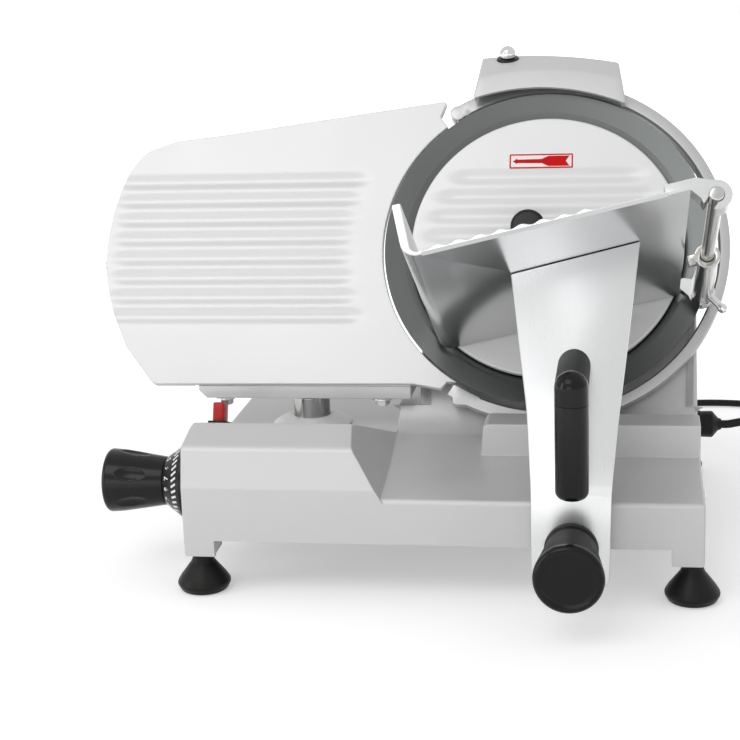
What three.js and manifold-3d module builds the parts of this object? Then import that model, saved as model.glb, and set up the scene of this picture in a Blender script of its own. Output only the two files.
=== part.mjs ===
// A gravity-feed slicer with a 250 mm blade: one cast body, a leaning blade in its guard ring, a gauge plate
// that a dial moves back, and a tray on an arm that slides along the front.
// Millimetres, +Z up, +X to the right of the user, +Y away from the user.

import * as THREE from "three";
import { mergeVertices } from "three/addons/utils/BufferGeometryUtils.js";
import Module from "manifold-3d";

const wasm = await Module();
wasm.setup();

// Shared driving dimensions
const seatGap = 0.3;
const runGap = 0.5;
const wall = 5;
const overrun = 3;
const lap = 1;
const weldDistance = 1e-4;
const bladeLean = THREE.MathUtils.degToRad(29);
const bladeHeight = 216;
const bladeRadius = 125;
const castOffset = -20;

const curveSteps = 4;
const bigSides = 72;
const fineSides = 40;
const sides = 24;
const smallSides = 16;
const tinySides = 10;

// The low table of the casting, seen from the side: Y is depth, Z is height
const table = {
  front: -188, back: 135, left: -247.5, right: 113.5, skirt: 41,
  frontTop: 73.5, middle: -122, middleTop: 77.3, rear: -58, rearTop: 83.2, edge: 3,
};

// The nose at the left end of the table
const nose = {
  frontTop: 79.8, brow: -181, browTop: 107.8, crest: -147, crestTop: 115.8, round: 7,
  rightFoot: -106.7, footHeight: 74.5, lean: 0.58, corner: 7,
};

// The tall housing behind the blade
const housing = {
  left: -96, footLeft: -112, footTop: 100, top: 262, topRound: 26, footRound: 12,
  windowLeft: -78, windowRight: 96, windowBottom: 92, windowTop: 226,
};

// The pedestal in front of the guard ring
const pedestal = { front: -102, back: -72, top: 103, left: -44.6, draft: 2.6, round: 5 };

const leg = { width: 22, depth: 26, bottom: 28.8, top: 50, round: 4 };
const foot = {
  frontY: -173, rearY: 115, leftX: -238, rightX: 106, radius: 19.3, baseRadius: 17, bellyHeight: 6,
  neckRadius: 7.3, neckHeight: 22,
};

const baseCover = { thickness: 1.6, front: -74 };
const rearCover = { thickness: 2, margin: 8, slots: 7, slotWidth: 6, slotLength: 74, slotPitch: 15,
  lowest: 112 };
const coverScrew = { radius: 4, head: 2.4, shank: 2, length: 7, inset: 4.2 };

// Blade and what turns it, in the leaning frame: u to the right, v up the blade, n out of its face
const blade = { bore: 14, flat: 98, step: 110, back: -11, face: -7, stepFace: -3.2, bevel: 124.2,
  bevelBack: -1.2,
  heel: 112, heelBack: -6.5 };
const ring = { radius: 138, bore: 128, shiftU: 1.5, shiftV: -1, back: -16, front: -3, startAngle: 124,
  endAngle: 238,
  chamfer: 1.6, lobeAngle: 122.5, lobe: 6 };
const ringLug = { left: -69, right: -48, bottom: -125, top: -109.2, round: 3 };
const pad = { radius: 6, orbit: 133, angles: [-100, -62, -40] };
const cover = { radius: 104, face: 1.7, thickness: 2.6, skirt: -3, skirtWall: 3, edge: 1.4 };
const groove = { pitch: 16, width: 12, depth: 1.6, count: 8 };
const coverGrooveReach = 88;
const coverKnob = { u: -13, v: 7, radius: 13, foot: 9, footHeight: 5, flare: 10, height: 27, stud: 3,
  studShort: 1.2, edge: 3 };
const tieRod = { radius: 4.2, flange: 20, flangeThickness: 2.9, back: -76 };
const shaft = { radius: 9, bore: 4.8, back: -62, flange: 34, flangeThickness: 4.2, spigotShort: 0.5 };
const bearing = { radius: 16, width: 9, frontFace: -18, rearFace: -34 };
const hub = { radius: 22, flange: 32, flangeThickness: 3.4, back: -44, lip: 1.4, lipClearance: 0.8 };
const pulley = { radius: 40, front: -45, width: 12 };
const belt = { thickness: 3, width: 10, steps: 20 };
const motor = { u: 45, v: -70, radius: 36, front: -62, length: 95, pulleyRadius: 14, shaft: 6, band: 2,
  cap: 12,
  shaftReach: 9 };
const motorPlate = { left: 6, top: -32, bottom: -106, thickness: 3.5 };
const bridge = { half: 11, thickness: 6, front: -66 };

// Sharpener over the top of the ring
const sharpener = {
  left: -58.5, right: 59.8, leftV: 118.7, rightV: 111.5, archV: 126.3,
  lineLeft: -53.8, lineRight: 56.2, lineLeftV: 136.6, lineRightV: 132.7, lineV: 142.3,
  topLeft: -54.5, topRight: 54.2, topLeftV: 165, topRightV: 158.5, topV: 165.8, topN: -16, backDrop: 3,
  front: 10, back: -23, ringFront: 2, wall: 3, rearLeft: -45, rearRight: 50, rearLow: 104, rearTop: 149,
  rearBack: -56,
};
const sharpenerLineShare = 0.45;
const sharpenerTopShare = 1.4;
const stone = { radius: 18, v: 123, grindingU: -18, truingU: 24, thickness: 9, front: -28, shaft: 3,
  button: 7,
  buttonLength: 8, buttonFront: -62, proud: 0.3, collar: 5.5, collarLength: 1.8 };
const sharpenerKnob = { u: -33.5, sunk: 1.1, washer: 8.6, washerHeight: 2.4, radius: 6.4, skirt: 2.6,
  height: 9, stud: 3, studReach: 6 };
const sharpenerKnobShare = 0.76;

// Gauge plate outline in the blade plane, and the slide that carries it
const gauge = { thickness: 7, reach: 350.2, halfHeight: 110.9, arc: 126.5, arcStart: 238.8, arcEnd: 128.5,
  arcSteps: 18, travel: 13.5, grooveOrbit: 157, grooveLeft: -338, flange: 9, flangeBack: -18, ribTop: 168,
  ribWidth: 5,
  ribXs: [-240, -181, -122] };
// Shares of the reach to the left and of the half height, from the lower right corner round to the upper right one
const gaugeLowerShares = [
  [-0.9338, -0.7304], [-0.8646, -1], [-0.2836, -0.991], [-0.2213, -1.0252], [-0.2087, -0.9757],
];
const gaugeUpperShares = [
  [-0.2413, 0.9693], [-0.2267, 1.0911], [-0.2901, 1.0658], [-0.7253, 0.871], [-0.8501, 0.8242], [-0.9243,
    0.743],
  [-0.964, 0.5663], [-0.9892, 0.2976], [-1, -0.0072], [-0.9929, -0.2705], [-0.9677, -0.5032],
];
const gaugeBar = { left: -267.5, right: -101.3, front: -50, back: -15, bottom: 107, top: 117, corner: 6 };
const gaugeBolt = { xs: [-247.8, -124.5], y: -43, acrossFlats: 10, head: 6, shank: 3, reach: 6 };
const column = { radius: 14, x: -181, y: -36, bottom: 50 };
const dome = { radius: 31, base: 91, top: 98.6, rim: 4 };
const slider = { halfX: 30, halfY: 20, bottom: 44, top: 68, armLeft: -228, armRight: -222, armBottom: 64,
  armTop: 74,
  crossDepth: 10, toeLeft: -236.5, toeDepth: 6, toeHalf: 2.5, toeGap: 0.8 };
const guideRod = { radius: 4, spread: 23.5, z: 56, front: -82, back: 14, rib: 5, ribHalf: 31, ribBottom: 43.4,
  frontRibTop: 88, backRibTop: 80 };

// Thickness knob, its dial and the snail cam that pushes the gauge slider
const dial = { y: -140, z: 69.2, knobFront: -314, knobRadius: 23.5, knobNeck: 17.6, coneStart: -269.5,
  coneEnd: -260,
  radius: 28, back: -250, edge: 2.5 };
const knobShaft = { radius: 5, left: -302, right: -225, cam: -237, camWidth: 7, camRadius: 7, turn: 300,
  dwell: 35,
  steps: 30 };

// Tray, in its own frame: w along the floor, h up, n out of the blade plane
const tray = { u: -78.1, v: -84.8, tilt: THREE.MathUtils.degToRad(13.8), near: 224.5, far: 3, length: 183,
  floor: 2.6,
  wall: 6, height: 37, corner: 10, waves: 8, waveHeight: 1.8, waveStart: 16, waveEnd: 124, waveSteps: 6,
  inner: 4 };
const hook = { reach: 14.5, h: -6.9, radius: 9.7, bore: 5.05, nearFront: 224.5, nearDepth: 13,
  farFront: 20, farDepth: 10,
  mouth: 7, webTop: 7, webBack: 15, webRound: 4 };
const hookW = tray.length + hook.reach;
const pusherRod = { radius: 4.75, tip: 227, tail: 6, chamfer: 1.2 };
const sleeve = { radius: 8, rim: 8.8, rimDepth: 5, top: 106, bottom: 20.6, lugReach: 13.5, lugTop: -3.9,
  lugBottom: -9.9, lugDepth: 9 };
const lever = { n: 30, radius: 2.6, ball: 3.6, length: 13, angle: -47, seat: 2.4 };
const trayScrew = { radius: 4.4, shank: 2.4, length: 9, head: 2.4, ws: [80, 136], n: 128 };

// Support arm, handle and clamp knob
const arm = { front: -208, thickness: 12, kneeHeight: 84, topY: -157, topHeight: 240, bottom: 17, left: -2,
  right: 50,
  waistHeight: 87, waistRight: 51.7, midLeft: -5, midLeftHeight: 139, midRight: 55.3, midRightHeight: 126,
  topLeft: -16, topLeftHeight: 224, topRight: 70.5, topRightHeight: 252, round: 12, kneeRound: 60 };
const armPad = { start: 68, end: 148, back: 118, front: 145, thickness: 6 };
const handle = { x: 26.5, y: -235, radius: 11.5, top: 178, bottom: 91, postBottom: 104,
  postRadius: 8 };
const clamp = { x: 25, z: 48.2, front: -266, neck: 17.5, radius: 23.5, edge: 4, screw: 4, screwEnd: -191.5 };

// Carriage below the table
const slideRod = { radius: 7, y: -102, z: 49, boss: 11, bossLength: 10, seat: 3 };
const guideBar = { radius: 4, y: -155, z: 47, boss: 6, bossLength: 3.5, seat: 3 };
const trolley = { left: 0, right: 50, floor: 25, deck: 36, front: -195.7, plateBack: -190.2, plateTop: 66,
  plateLeft: 5, plateRight: 45, blockHalf: 14, blockTop: 62, lugHalf: 8, lugTop: 57 };

// Power switch, gland, cord and plug
const powerSwitch = { y: -100, left: -246, right: -232, half: 10, bezel: 4, rim: 2.5, height: 18,
  bottom: 3.4 };
const gland = { y: 0, z: 74.7, radius: 8.8, end: 131.6, neck: 6.7, nut: 10.4, nutDepth: 5, ribs: 2,
  ribDepth: 1.6,
  inside: 3 };
const cord = { diameter: 6.5, sides: 8, steps: 48, floorGap: 0.3 };
const coil = { x: -18, y: 222, radius: 36, layerTurns: 2, steps: 24, sides: 6, pitch: 7.1, lead: 7,
  tail: 28 };
const plug = { length: 38, width: 24, edge: 3, pinRadius: 2.2, pinLength: 19, pinSpread: 9.5, neck: 5.4,
  neckLength: 12, pinSeat: 4 };
const sideScrew = { y: -140, z: 63, radius: 4.5, head: 2.4, shank: 2.5, length: 8 };

// Materials
const surface = (name, color, roughness, metalness) => {
  const made = new THREE.MeshStandardMaterial({ color, roughness, metalness });
  made.name = name;
  return made;
};
const material = {
  casting: surface("polished aluminium casting", 0xb9bdc0, 0.38, 0.85),
  plate: surface("brushed aluminium", 0xc6c9cb, 0.32, 0.9),
  steel: surface("bright steel", 0xd2d4d6, 0.18, 1),
  darkSteel: surface("dark steel", 0x6f7377, 0.45, 0.9),
  black: surface("black plastic", 0x17181a, 0.35, 0),
  rubber: surface("black rubber", 0x1c1c1d, 0.75, 0),
  red: surface("red plastic", 0xc81e1a, 0.3, 0),
  stone: surface("grinding stone", 0x8a4a3a, 0.95, 0),
  chrome: surface("chrome", 0xe2e4e6, 0.08, 1),
  grey: surface("grey sheet steel", 0x8b8f92, 0.5, 0.7),
};

// Turns a closed geometry into a solid whose faces point outward.
function solid(geometry) {
  const bare = geometry.clone();
  bare.deleteAttribute("normal");
  bare.deleteAttribute("uv");
  const merged = mergeVertices(bare, weldDistance);
  const corners = [];
  const index = merged.index.array;
  for (let i = 0; i < index.length; i += 3) {
    const [a, b, c] = index.slice(i, i + 3);
    if (a !== b && b !== c && c !== a) corners.push(a, b, c);
  }
  const vertProperties = Float32Array.from(merged.attributes.position.array);
  const make = (list) => new wasm.Manifold(new wasm.Mesh({ numProp: 3, vertProperties,
    triVerts: new Uint32Array(list) }));
  const made = make(corners);
  return made.volume() < 0 ? make(corners.reverse()) : made;
}

const join = (first, ...others) => others.reduce((whole, other) => whole.add(other), first);
const cut = (first, ...others) => others.reduce((whole, other) => whole.subtract(other), first);

// The triangles of a solid as a drawable geometry.
function geometryOf(made) {
  const mesh = made.getMesh();
  const geometry = new THREE.BufferGeometry();
  geometry.setAttribute("position", new THREE.BufferAttribute(Float32Array.from(mesh.vertProperties), 3));
  geometry.setIndex(new THREE.BufferAttribute(Uint32Array.from(mesh.triVerts), 1));
  const flat = geometry.toNonIndexed();
  flat.computeVertexNormals();
  return flat;
}

// Adds a solid to a group as a named mesh, at a place in that group.
function piece(group, name, made, finish, place = [0, 0, 0]) {
  const mesh = new THREE.Mesh(geometryOf(made), finish);
  mesh.name = name;
  mesh.position.set(...place);
  group.add(mesh);
  return mesh;
}

// Points of an outline whose corners may be rounded: each corner is [x, y] or [x, y, radius].
function outline(corners) {
  const points = [];
  corners.forEach(([x, y, radius], i) => {
    const corner = new THREE.Vector2(x, y);
    if (!radius) {
      points.push(corner);
      return;
    }
    const before = new THREE.Vector2(...corners.at(i - 1)).sub(corner).normalize();
    const after = new THREE.Vector2(...corners[(i + 1) % corners.length]).sub(corner).normalize();
    const half = Math.acos(THREE.MathUtils.clamp(before.dot(after), -1, 1)) / 2;
    const reach = radius / Math.tan(half);
    const centre = before.clone().add(after).normalize().multiplyScalar(radius / Math.sin(half)).add(corner);
    const start = before.clone().multiplyScalar(reach).add(corner).sub(centre);
    const end = after.clone().multiplyScalar(reach).add(corner).sub(centre);
    const sweep = Math.atan2(start.cross(end), start.dot(end));
    for (let k = 0; k <= curveSteps; k++)
      points.push(start.clone().rotateAround(new THREE.Vector2(), (sweep * k) / curveSteps).add(centre));
  });
  return points;
}

// Points on an arc about a centre, angles in degrees.
function arcPoints(radius, from, to, steps, x = 0, y = 0) {
  return Array.from({ length: steps + 1 }, (_, k) => {
    const angle = THREE.MathUtils.degToRad(from + ((to - from) * k) / steps);
    return [x + radius * Math.cos(angle), y + radius * Math.sin(angle)];
  });
}

// Prisms: an outline drawn in X-Y, Y-Z or X-Z and carried along the third axis.
function prism(corners, low, high) {
  const shape = new THREE.Shape(outline(corners));
  const made = new THREE.ExtrudeGeometry(shape, { depth: high - low, bevelEnabled: false, steps: 1 });
  return made.translate(0, 0, low);
}
const alongZ = (corners, low, high) => solid(prism(corners, low, high));
const turnedToX = new THREE.Matrix4().makeBasis(
  new THREE.Vector3(0, 1, 0), new THREE.Vector3(0, 0, 1), new THREE.Vector3(1, 0, 0));
const turnedToY = new THREE.Matrix4().makeBasis(
  new THREE.Vector3(1, 0, 0), new THREE.Vector3(0, 0, 1), new THREE.Vector3(0, -1, 0));
const alongX = (corners, low, high) => solid(prism(corners, low, high).applyMatrix4(turnedToX));
const alongY = (corners, low, high) => solid(prism(corners, -high, -low).applyMatrix4(turnedToY));

// A box between two limits along each axis.
function box(x0, x1, y0, y1, z0, z1) {
  const made = new THREE.BoxGeometry(x1 - x0, y1 - y0, z1 - z0);
  return solid(made.translate((x0 + x1) / 2, (y0 + y1) / 2, (z0 + z1) / 2));
}

// Turned shapes: a closed profile of [radius, distance] about the Z, X or Y axis.
function turned(profile, around, place = [0, 0, 0], axis = "z") {
  const made = new THREE.LatheGeometry(profile.map(([r, h]) => new THREE.Vector2(r, h)), around);
  if (axis === "z") made.rotateX(Math.PI / 2);
  if (axis === "x") made.rotateZ(-Math.PI / 2);
  return solid(made.translate(...place));
}
const spindle = (radius, low, high, around, place, axis) =>
  turned([[0, low], [radius, low], [radius, high], [0, high]], around, place, axis);
const tube = (radius, bore, low, high, around, place, axis) =>
  turned([[bore, low], [radius, low], [radius, high], [bore, high], [bore, low]], around, place, axis);

// A hexagon head or nut about Z.
const hexagon = (acrossFlats, low, high, place) =>
  turned([[0, low], [acrossFlats / Math.sqrt(3), low], [acrossFlats / Math.sqrt(3), high], [0, high]], 6,
    place);

// The leaning frame of the blade, and the tray's frame inside it
const leanAngle = Math.PI / 2 - bladeLean;
const leanMatrix = new THREE.Matrix4().makeTranslation(0, 0, bladeHeight)
  .multiply(new THREE.Matrix4().makeRotationX(leanAngle));
const trayMatrix = leanMatrix.clone()
  .multiply(new THREE.Matrix4().makeTranslation(tray.u, tray.v, 0))
  .multiply(new THREE.Matrix4().makeRotationZ(tray.tilt));
const carried = (made, matrix) => solid(geometryOf(made).applyMatrix4(matrix));
const leaned = (made) => carried(made, leanMatrix);

// Depth, at a height, of a plane that lies parallel to the blade at an offset out of its face.
function planeY(offset, z) {
  const v = (z - bladeHeight - offset * Math.sin(bladeLean)) / Math.cos(bladeLean);
  return v * Math.sin(bladeLean) - offset * Math.cos(bladeLean);
}

const machine = new THREE.Group();
const leaning = new THREE.Group();
leaning.position.z = bladeHeight;
leaning.rotation.x = leanAngle;
machine.add(leaning);
const trayGroup = new THREE.Group();
trayGroup.position.set(tray.u, tray.v, 0);
trayGroup.rotation.z = tray.tilt;
leaning.add(trayGroup);

// Casting: an open-bottomed shell with table, nose, pedestal and housing
const below = table.skirt - overrun;
const tableOutline = (inset, low) => [
  [table.front + inset, low],
  [table.front + inset, table.frontTop - inset, table.edge],
  [table.middle, table.middleTop - inset],
  [table.rear, table.rearTop - inset],
  [table.back - inset, table.rearTop - inset],
  [table.back - inset, low],
];
const housingOutline = (inset, low) => {
  const plane = castOffset - inset;
  const top = housing.top - inset;
  const foot = inset ? [[planeY(plane, low), low]] : [
    [planeY(plane, table.rearTop), table.rearTop, housing.footRound],
    [table.rear, table.rearTop],
    [table.rear, low],
  ];
  return [
    [table.back - inset, low],
    [table.back - inset, top, housing.topRound - inset],
    [planeY(plane, top), top, housing.topRound - inset],
    ...foot,
  ];
};
const noseRight = (z, inset) => nose.rightFoot - nose.lean * (z - nose.footHeight) - inset * Math.hypot(1,
  nose.lean);
function noseSolid(inset, low) {
  const top = nose.crestTop - inset;
  const side = alongX([
    [table.front + inset, low],
    [table.front + inset, nose.frontTop],
    [nose.brow + inset, nose.browTop - inset, nose.round],
    [nose.crest, top, nose.corner],
    [table.rear, table.rearTop - inset],
    [table.rear, low],
  ], table.left + inset, noseRight(low, inset) + overrun);
  const front = alongY([
    [table.left + inset, low],
    [table.left + inset, top + overrun - inset, nose.corner],
    [noseRight(top + overrun, inset), top + overrun - inset],
    [noseRight(low, inset), low],
  ], table.front - overrun, table.rear + overrun);
  return side.intersect(front);
}
function pedestalSolid(inset, low) {
  return alongY([
    [pedestal.left + inset, low],
    [pedestal.left + pedestal.draft + inset, pedestal.top - inset, pedestal.round],
    [table.right - inset, pedestal.top - inset],
    [table.right - inset, low],
  ], pedestal.front + inset, pedestal.back - inset);
}
const gaugeSlot = (radius, low, high) => alongZ([
  ...arcPoints(radius, 180, 360, curveSteps * 2, column.x, column.y),
  ...arcPoints(radius, 0, 180, curveSteps * 2, column.x, column.y + gauge.travel),
], low, high);
const legBox = (x, y) => {
  const [left, right] = x < 0 ? [table.left, table.left + leg.width] : [table.right - leg.width, table.right];
  const [front, back] = y < 0 ? [table.front, table.front + leg.depth] : [table.back - leg.depth, table.back];
  return [left, right, front, back];
};
const footPlaces = [
  ["front_left", foot.leftX, foot.frontY], ["front_right", foot.rightX, foot.frontY],
  ["rear_left", foot.leftX, foot.rearY], ["rear_right", foot.rightX, foot.rearY],
];
const sharedHousing = (inset, low) => alongX(housingOutline(inset, low), housing.left + inset,
  table.right - inset);

const coverScrewPlaces = [housing.windowLeft, housing.windowRight].map((x) => [
  x + Math.sign(x) * coverScrew.inset, housing.windowTop + coverScrew.inset]);

function baseCasting() {
  const footing = alongX(housingOutline(0, table.skirt), housing.footLeft, table.right)
    .intersect(box(housing.footLeft - overrun, table.right + overrun, table.front, table.back + overrun,
      table.skirt - overrun, housing.footTop));
  const outside = join(
    alongX(tableOutline(0, table.skirt), table.left, table.right),
    noseSolid(0, table.skirt),
    sharedHousing(0, table.skirt),
    footing,
    pedestalSolid(0, table.frontTop),
    gaugeSlot(dome.radius - lap, table.rearTop - wall, dome.base),
  );
  const hollow = cut(
    outside,
    alongX(tableOutline(wall, below), table.left + wall, table.right - wall),
    noseSolid(wall, below),
    sharedHousing(wall, below),
    pedestalSolid(wall, table.frontTop - wall * 2),
    gaugeSlot(column.radius + runGap, table.skirt, dome.base + overrun),
  );
  const legs = footPlaces.map(([, x, y]) => {
    const [left, right, front, back] = legBox(x, y);
    const corners = [[left, front, leg.round], [right, front, leg.round], [right, back, leg.round],
      [left, back, leg.round]];
    return alongZ(corners, leg.bottom, leg.top);
  });
  const ends = [[table.left + wall, 1], [table.right - wall, -1]];
  const bosses = ends.flatMap(([x, way]) => [slideRod, guideBar].map((bar) => {
    const [from, to] = [x - way * lap, x + way * bar.bossLength];
    return spindle(bar.boss, Math.min(from, to), Math.max(from, to), smallSides, [0, bar.y, bar.z], "x");
  }));
  const ribPlaces = [[guideRod.front, guideRod.frontRibTop], [guideRod.back - guideRod.rib,
    guideRod.backRibTop]];
  const ribs = ribPlaces.map(([y, top]) => box(column.x - guideRod.ribHalf, column.x + guideRod.ribHalf, y,
    y + guideRod.rib, guideRod.ribBottom, top));
  const plateFront = motor.front + seatGap + motorPlate.thickness;
  const inner = [
    leaned(box(motorPlate.left, table.right - wall / 2, motorPlate.bottom, motorPlate.top,
      motor.front + seatGap, plateFront)),
    leaned(box(housing.left + wall / 2, table.right - wall / 2, -bridge.half, bridge.half,
      bridge.front - bridge.thickness, bridge.front)),
  ];
  const pads = pad.angles.map((degrees) => {
    const angle = THREE.MathUtils.degToRad(degrees);
    return leaned(spindle(pad.radius, castOffset - lap, ring.back - seatGap, tinySides,
      [pad.orbit * Math.cos(angle), pad.orbit * Math.sin(angle), 0]));
  });
  const rodHoles = [slideRod, guideBar].map((bar) => spindle(bar.radius + seatGap,
    table.left + wall - bar.seat,
    table.right - wall + bar.seat, smallSides, [0, bar.y, bar.z], "x"));
  const guideHoles = [-guideRod.spread, guideRod.spread].map((x) => spindle(guideRod.radius + seatGap,
    guideRod.front - overrun, guideRod.back + overrun, tinySides, [column.x + x, 0, guideRod.z], "y"));
  const slot = gaugeSlot(column.radius + runGap, table.skirt, dome.base + overrun);
  const screwHoles = coverScrewPlaces.map(([x, z]) => spindle(coverScrew.shank + seatGap,
    table.back - wall - overrun,
    table.back + overrun, tinySides, [x, 0, z], "y"));
  return cut(
    join(hollow, ...legs, ...bosses, ...inner, ...pads, ...ribs),
    leaned(spindle(hub.radius + seatGap, castOffset - wall - overrun, castOffset + overrun, sides)),
    leaned(spindle(motor.shaft + seatGap, motor.front, plateFront + overrun, tinySides, [motor.u, motor.v,
      0])),
    leaned(spindle(tieRod.radius + seatGap, bridge.front - bridge.thickness - overrun, bridge.front + overrun,
      tinySides)),
    ...rodHoles, ...guideHoles, slot, ...screwHoles,
    spindle(knobShaft.radius + seatGap, table.left - overrun, table.left + wall + overrun, smallSides,
      [0, dial.y, dial.z], "x"),
    spindle(gland.neck + seatGap, table.right - wall - overrun, table.right + overrun, smallSides,
      [0, gland.y, gland.z], "x"),
    spindle(sideScrew.shank + seatGap, table.right - wall - overrun, table.right + overrun, tinySides,
      [0, sideScrew.y, sideScrew.z], "x"),
    box(housing.windowLeft, housing.windowRight, table.back - wall - overrun, table.back + overrun,
      housing.windowBottom, housing.windowTop),
  );
}
piece(machine, "base_casting", baseCasting(), material.casting);

// Feet
const footShape = turned([
  [0, 0], [foot.baseRadius, 0], [foot.radius, foot.bellyHeight], [foot.neckRadius, foot.neckHeight],
  [foot.neckRadius, leg.bottom - seatGap], [0, leg.bottom - seatGap],
], smallSides);
for (const [name, x, y] of footPlaces) piece(machine, `foot_${name}`, footShape, material.rubber, [x, y, 0]);

// Covers that close the casting underneath and behind
const inside = wall + seatGap;
piece(machine, "base_cover", cut(
  box(table.left + inside, table.right - inside, baseCover.front, table.back - inside, table.skirt,
    table.skirt + baseCover.thickness),
  ...footPlaces.filter(([, , y]) => y > 0).map(([, x, y]) => {
    const [left, right, front, back] = legBox(x, y);
    return box(left - seatGap, right + seatGap, front - seatGap, back, 0, leg.top);
  }),
), material.grey);

const ventMiddle = (housing.windowLeft + housing.windowRight) / 2;
const vents = Array.from({ length: rearCover.slots }, (_, i) => {
  const x = ventMiddle + (i - (rearCover.slots - 1) / 2) * rearCover.slotPitch;
  return box(x - rearCover.slotWidth / 2, x + rearCover.slotWidth / 2, table.back, table.back + wall,
    rearCover.lowest, rearCover.lowest + rearCover.slotLength);
});
const coverBack = table.back + seatGap + rearCover.thickness;
piece(machine, "rear_cover", cut(
  box(housing.windowLeft - rearCover.margin, housing.windowRight + rearCover.margin, table.back + seatGap,
    coverBack,
    housing.windowBottom - rearCover.margin, housing.windowTop + rearCover.margin),
  ...vents,
  ...coverScrewPlaces.map(([x, z]) => spindle(coverScrew.shank + seatGap, table.back, coverBack + overrun,
    tinySides,
    [x, 0, z], "y")),
), material.grey);
const screwShape = (radius, head, shank, length) => turned([
  [0, -length], [shank, -length], [shank, seatGap], [radius, seatGap], [radius, head / 2], [radius / 2, head],
  [0, head],
], tinySides);
const coverScrewShape = carried(screwShape(coverScrew.radius, coverScrew.head, coverScrew.shank,
  coverScrew.length),
  new THREE.Matrix4().makeRotationX(-Math.PI / 2));
coverScrewPlaces.forEach(([x, z], i) =>
  piece(machine, `rear_cover_screw_${i ? "right" : "left"}`, coverScrewShape, material.steel, [x,
    coverBack, z]));
const sideScrewShape = carried(screwShape(sideScrew.radius, sideScrew.head, sideScrew.shank,
  sideScrew.length),
  new THREE.Matrix4().makeRotationY(Math.PI / 2));
piece(machine, "side_screw", sideScrewShape, material.steel, [table.right, sideScrew.y, sideScrew.z]);

// Blade, its shaft, bearings and drive
piece(leaning, "blade", turned([
  [blade.bore, blade.face], [blade.flat, blade.face], [blade.step, blade.stepFace], [bladeRadius, 0],
  [blade.bevel, blade.bevelBack], [blade.heel, blade.heelBack], [blade.flat, blade.back], [blade.bore,
    blade.back],
  [blade.bore, blade.face],
], bigSides), material.steel);

const flangeFace = blade.back - seatGap;
piece(leaning, "blade_shaft", turned([
  [shaft.bore, shaft.back], [shaft.radius, shaft.back], [shaft.radius, flangeFace - shaft.flangeThickness],
  [shaft.flange, flangeFace - shaft.flangeThickness], [shaft.flange, flangeFace], [blade.bore - seatGap,
    flangeFace],
  [blade.bore - seatGap, blade.face - shaft.spigotShort], [shaft.bore, blade.face - shaft.spigotShort],
  [shaft.bore, shaft.back],
], sides), material.darkSteel);

const hubSeat = castOffset + seatGap;
const hubFace = hubSeat + hub.flangeThickness;
piece(leaning, "bearing_housing", turned([
  [bearing.radius + seatGap, hub.back], [hub.radius, hub.back], [hub.radius, hubSeat], [hub.flange, hubSeat],
  [hub.flange, hubFace], [shaft.radius + hub.lipClearance, hubFace],
  [shaft.radius + hub.lipClearance, hubFace - hub.lip], [bearing.radius + seatGap, hubFace - hub.lip],
  [bearing.radius + seatGap, hub.back],
], sides), material.casting);
for (const [name, face] of [["front_bearing", bearing.frontFace], ["rear_bearing", bearing.rearFace]])
  piece(leaning, name, tube(bearing.radius, shaft.radius + seatGap, face - bearing.width, face, sides),
    material.darkSteel);

const pulleyBack = pulley.front - pulley.width;
piece(leaning, "blade_pulley", tube(pulley.radius, shaft.radius + seatGap, pulleyBack, pulley.front,
  fineSides),
  material.casting);
piece(leaning, "motor_pulley", join(
  spindle(motor.pulleyRadius, pulleyBack, pulley.front, sides),
  spindle(motor.shaft, motor.front - motor.shaftReach, pulley.front, tinySides),
), material.darkSteel, [motor.u, motor.v, 0]);
piece(leaning, "motor_body", cut(
  turned([
    [0, -motor.length], [motor.radius, -motor.length], [motor.radius, motor.cap - motor.length],
    [motor.radius - motor.band, motor.cap - motor.length], [motor.radius - motor.band, -motor.cap],
    [motor.radius, -motor.cap], [motor.radius, 0], [0, 0],
  ], sides),
  spindle(motor.shaft + seatGap, -motor.shaftReach - seatGap, overrun, tinySides),
), material.darkSteel, [motor.u, motor.v, motor.front]);

// Belt: a loop that wraps both pulleys
function beltLoop(large, small) {
  const span = Math.hypot(motor.u, motor.v);
  const toMotor = THREE.MathUtils.radToDeg(Math.atan2(motor.v, motor.u));
  const lap = THREE.MathUtils.radToDeg(Math.acos((large - small) / span));
  return [
    ...arcPoints(large, toMotor + lap, toMotor + 360 - lap, belt.steps),
    ...arcPoints(small, toMotor - lap, toMotor + lap, belt.steps / 2, motor.u, motor.v),
  ];
}
const beltBack = pulleyBack + (pulley.width - belt.width) / 2;
const beltInner = [pulley.radius + seatGap, motor.pulleyRadius + seatGap];
piece(leaning, "drive_belt", cut(
  alongZ(beltLoop(...beltInner.map((radius) => radius + belt.thickness)), beltBack, beltBack + belt.width),
  alongZ(beltLoop(...beltInner), beltBack - overrun, beltBack + belt.width + overrun),
), material.rubber);

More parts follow.
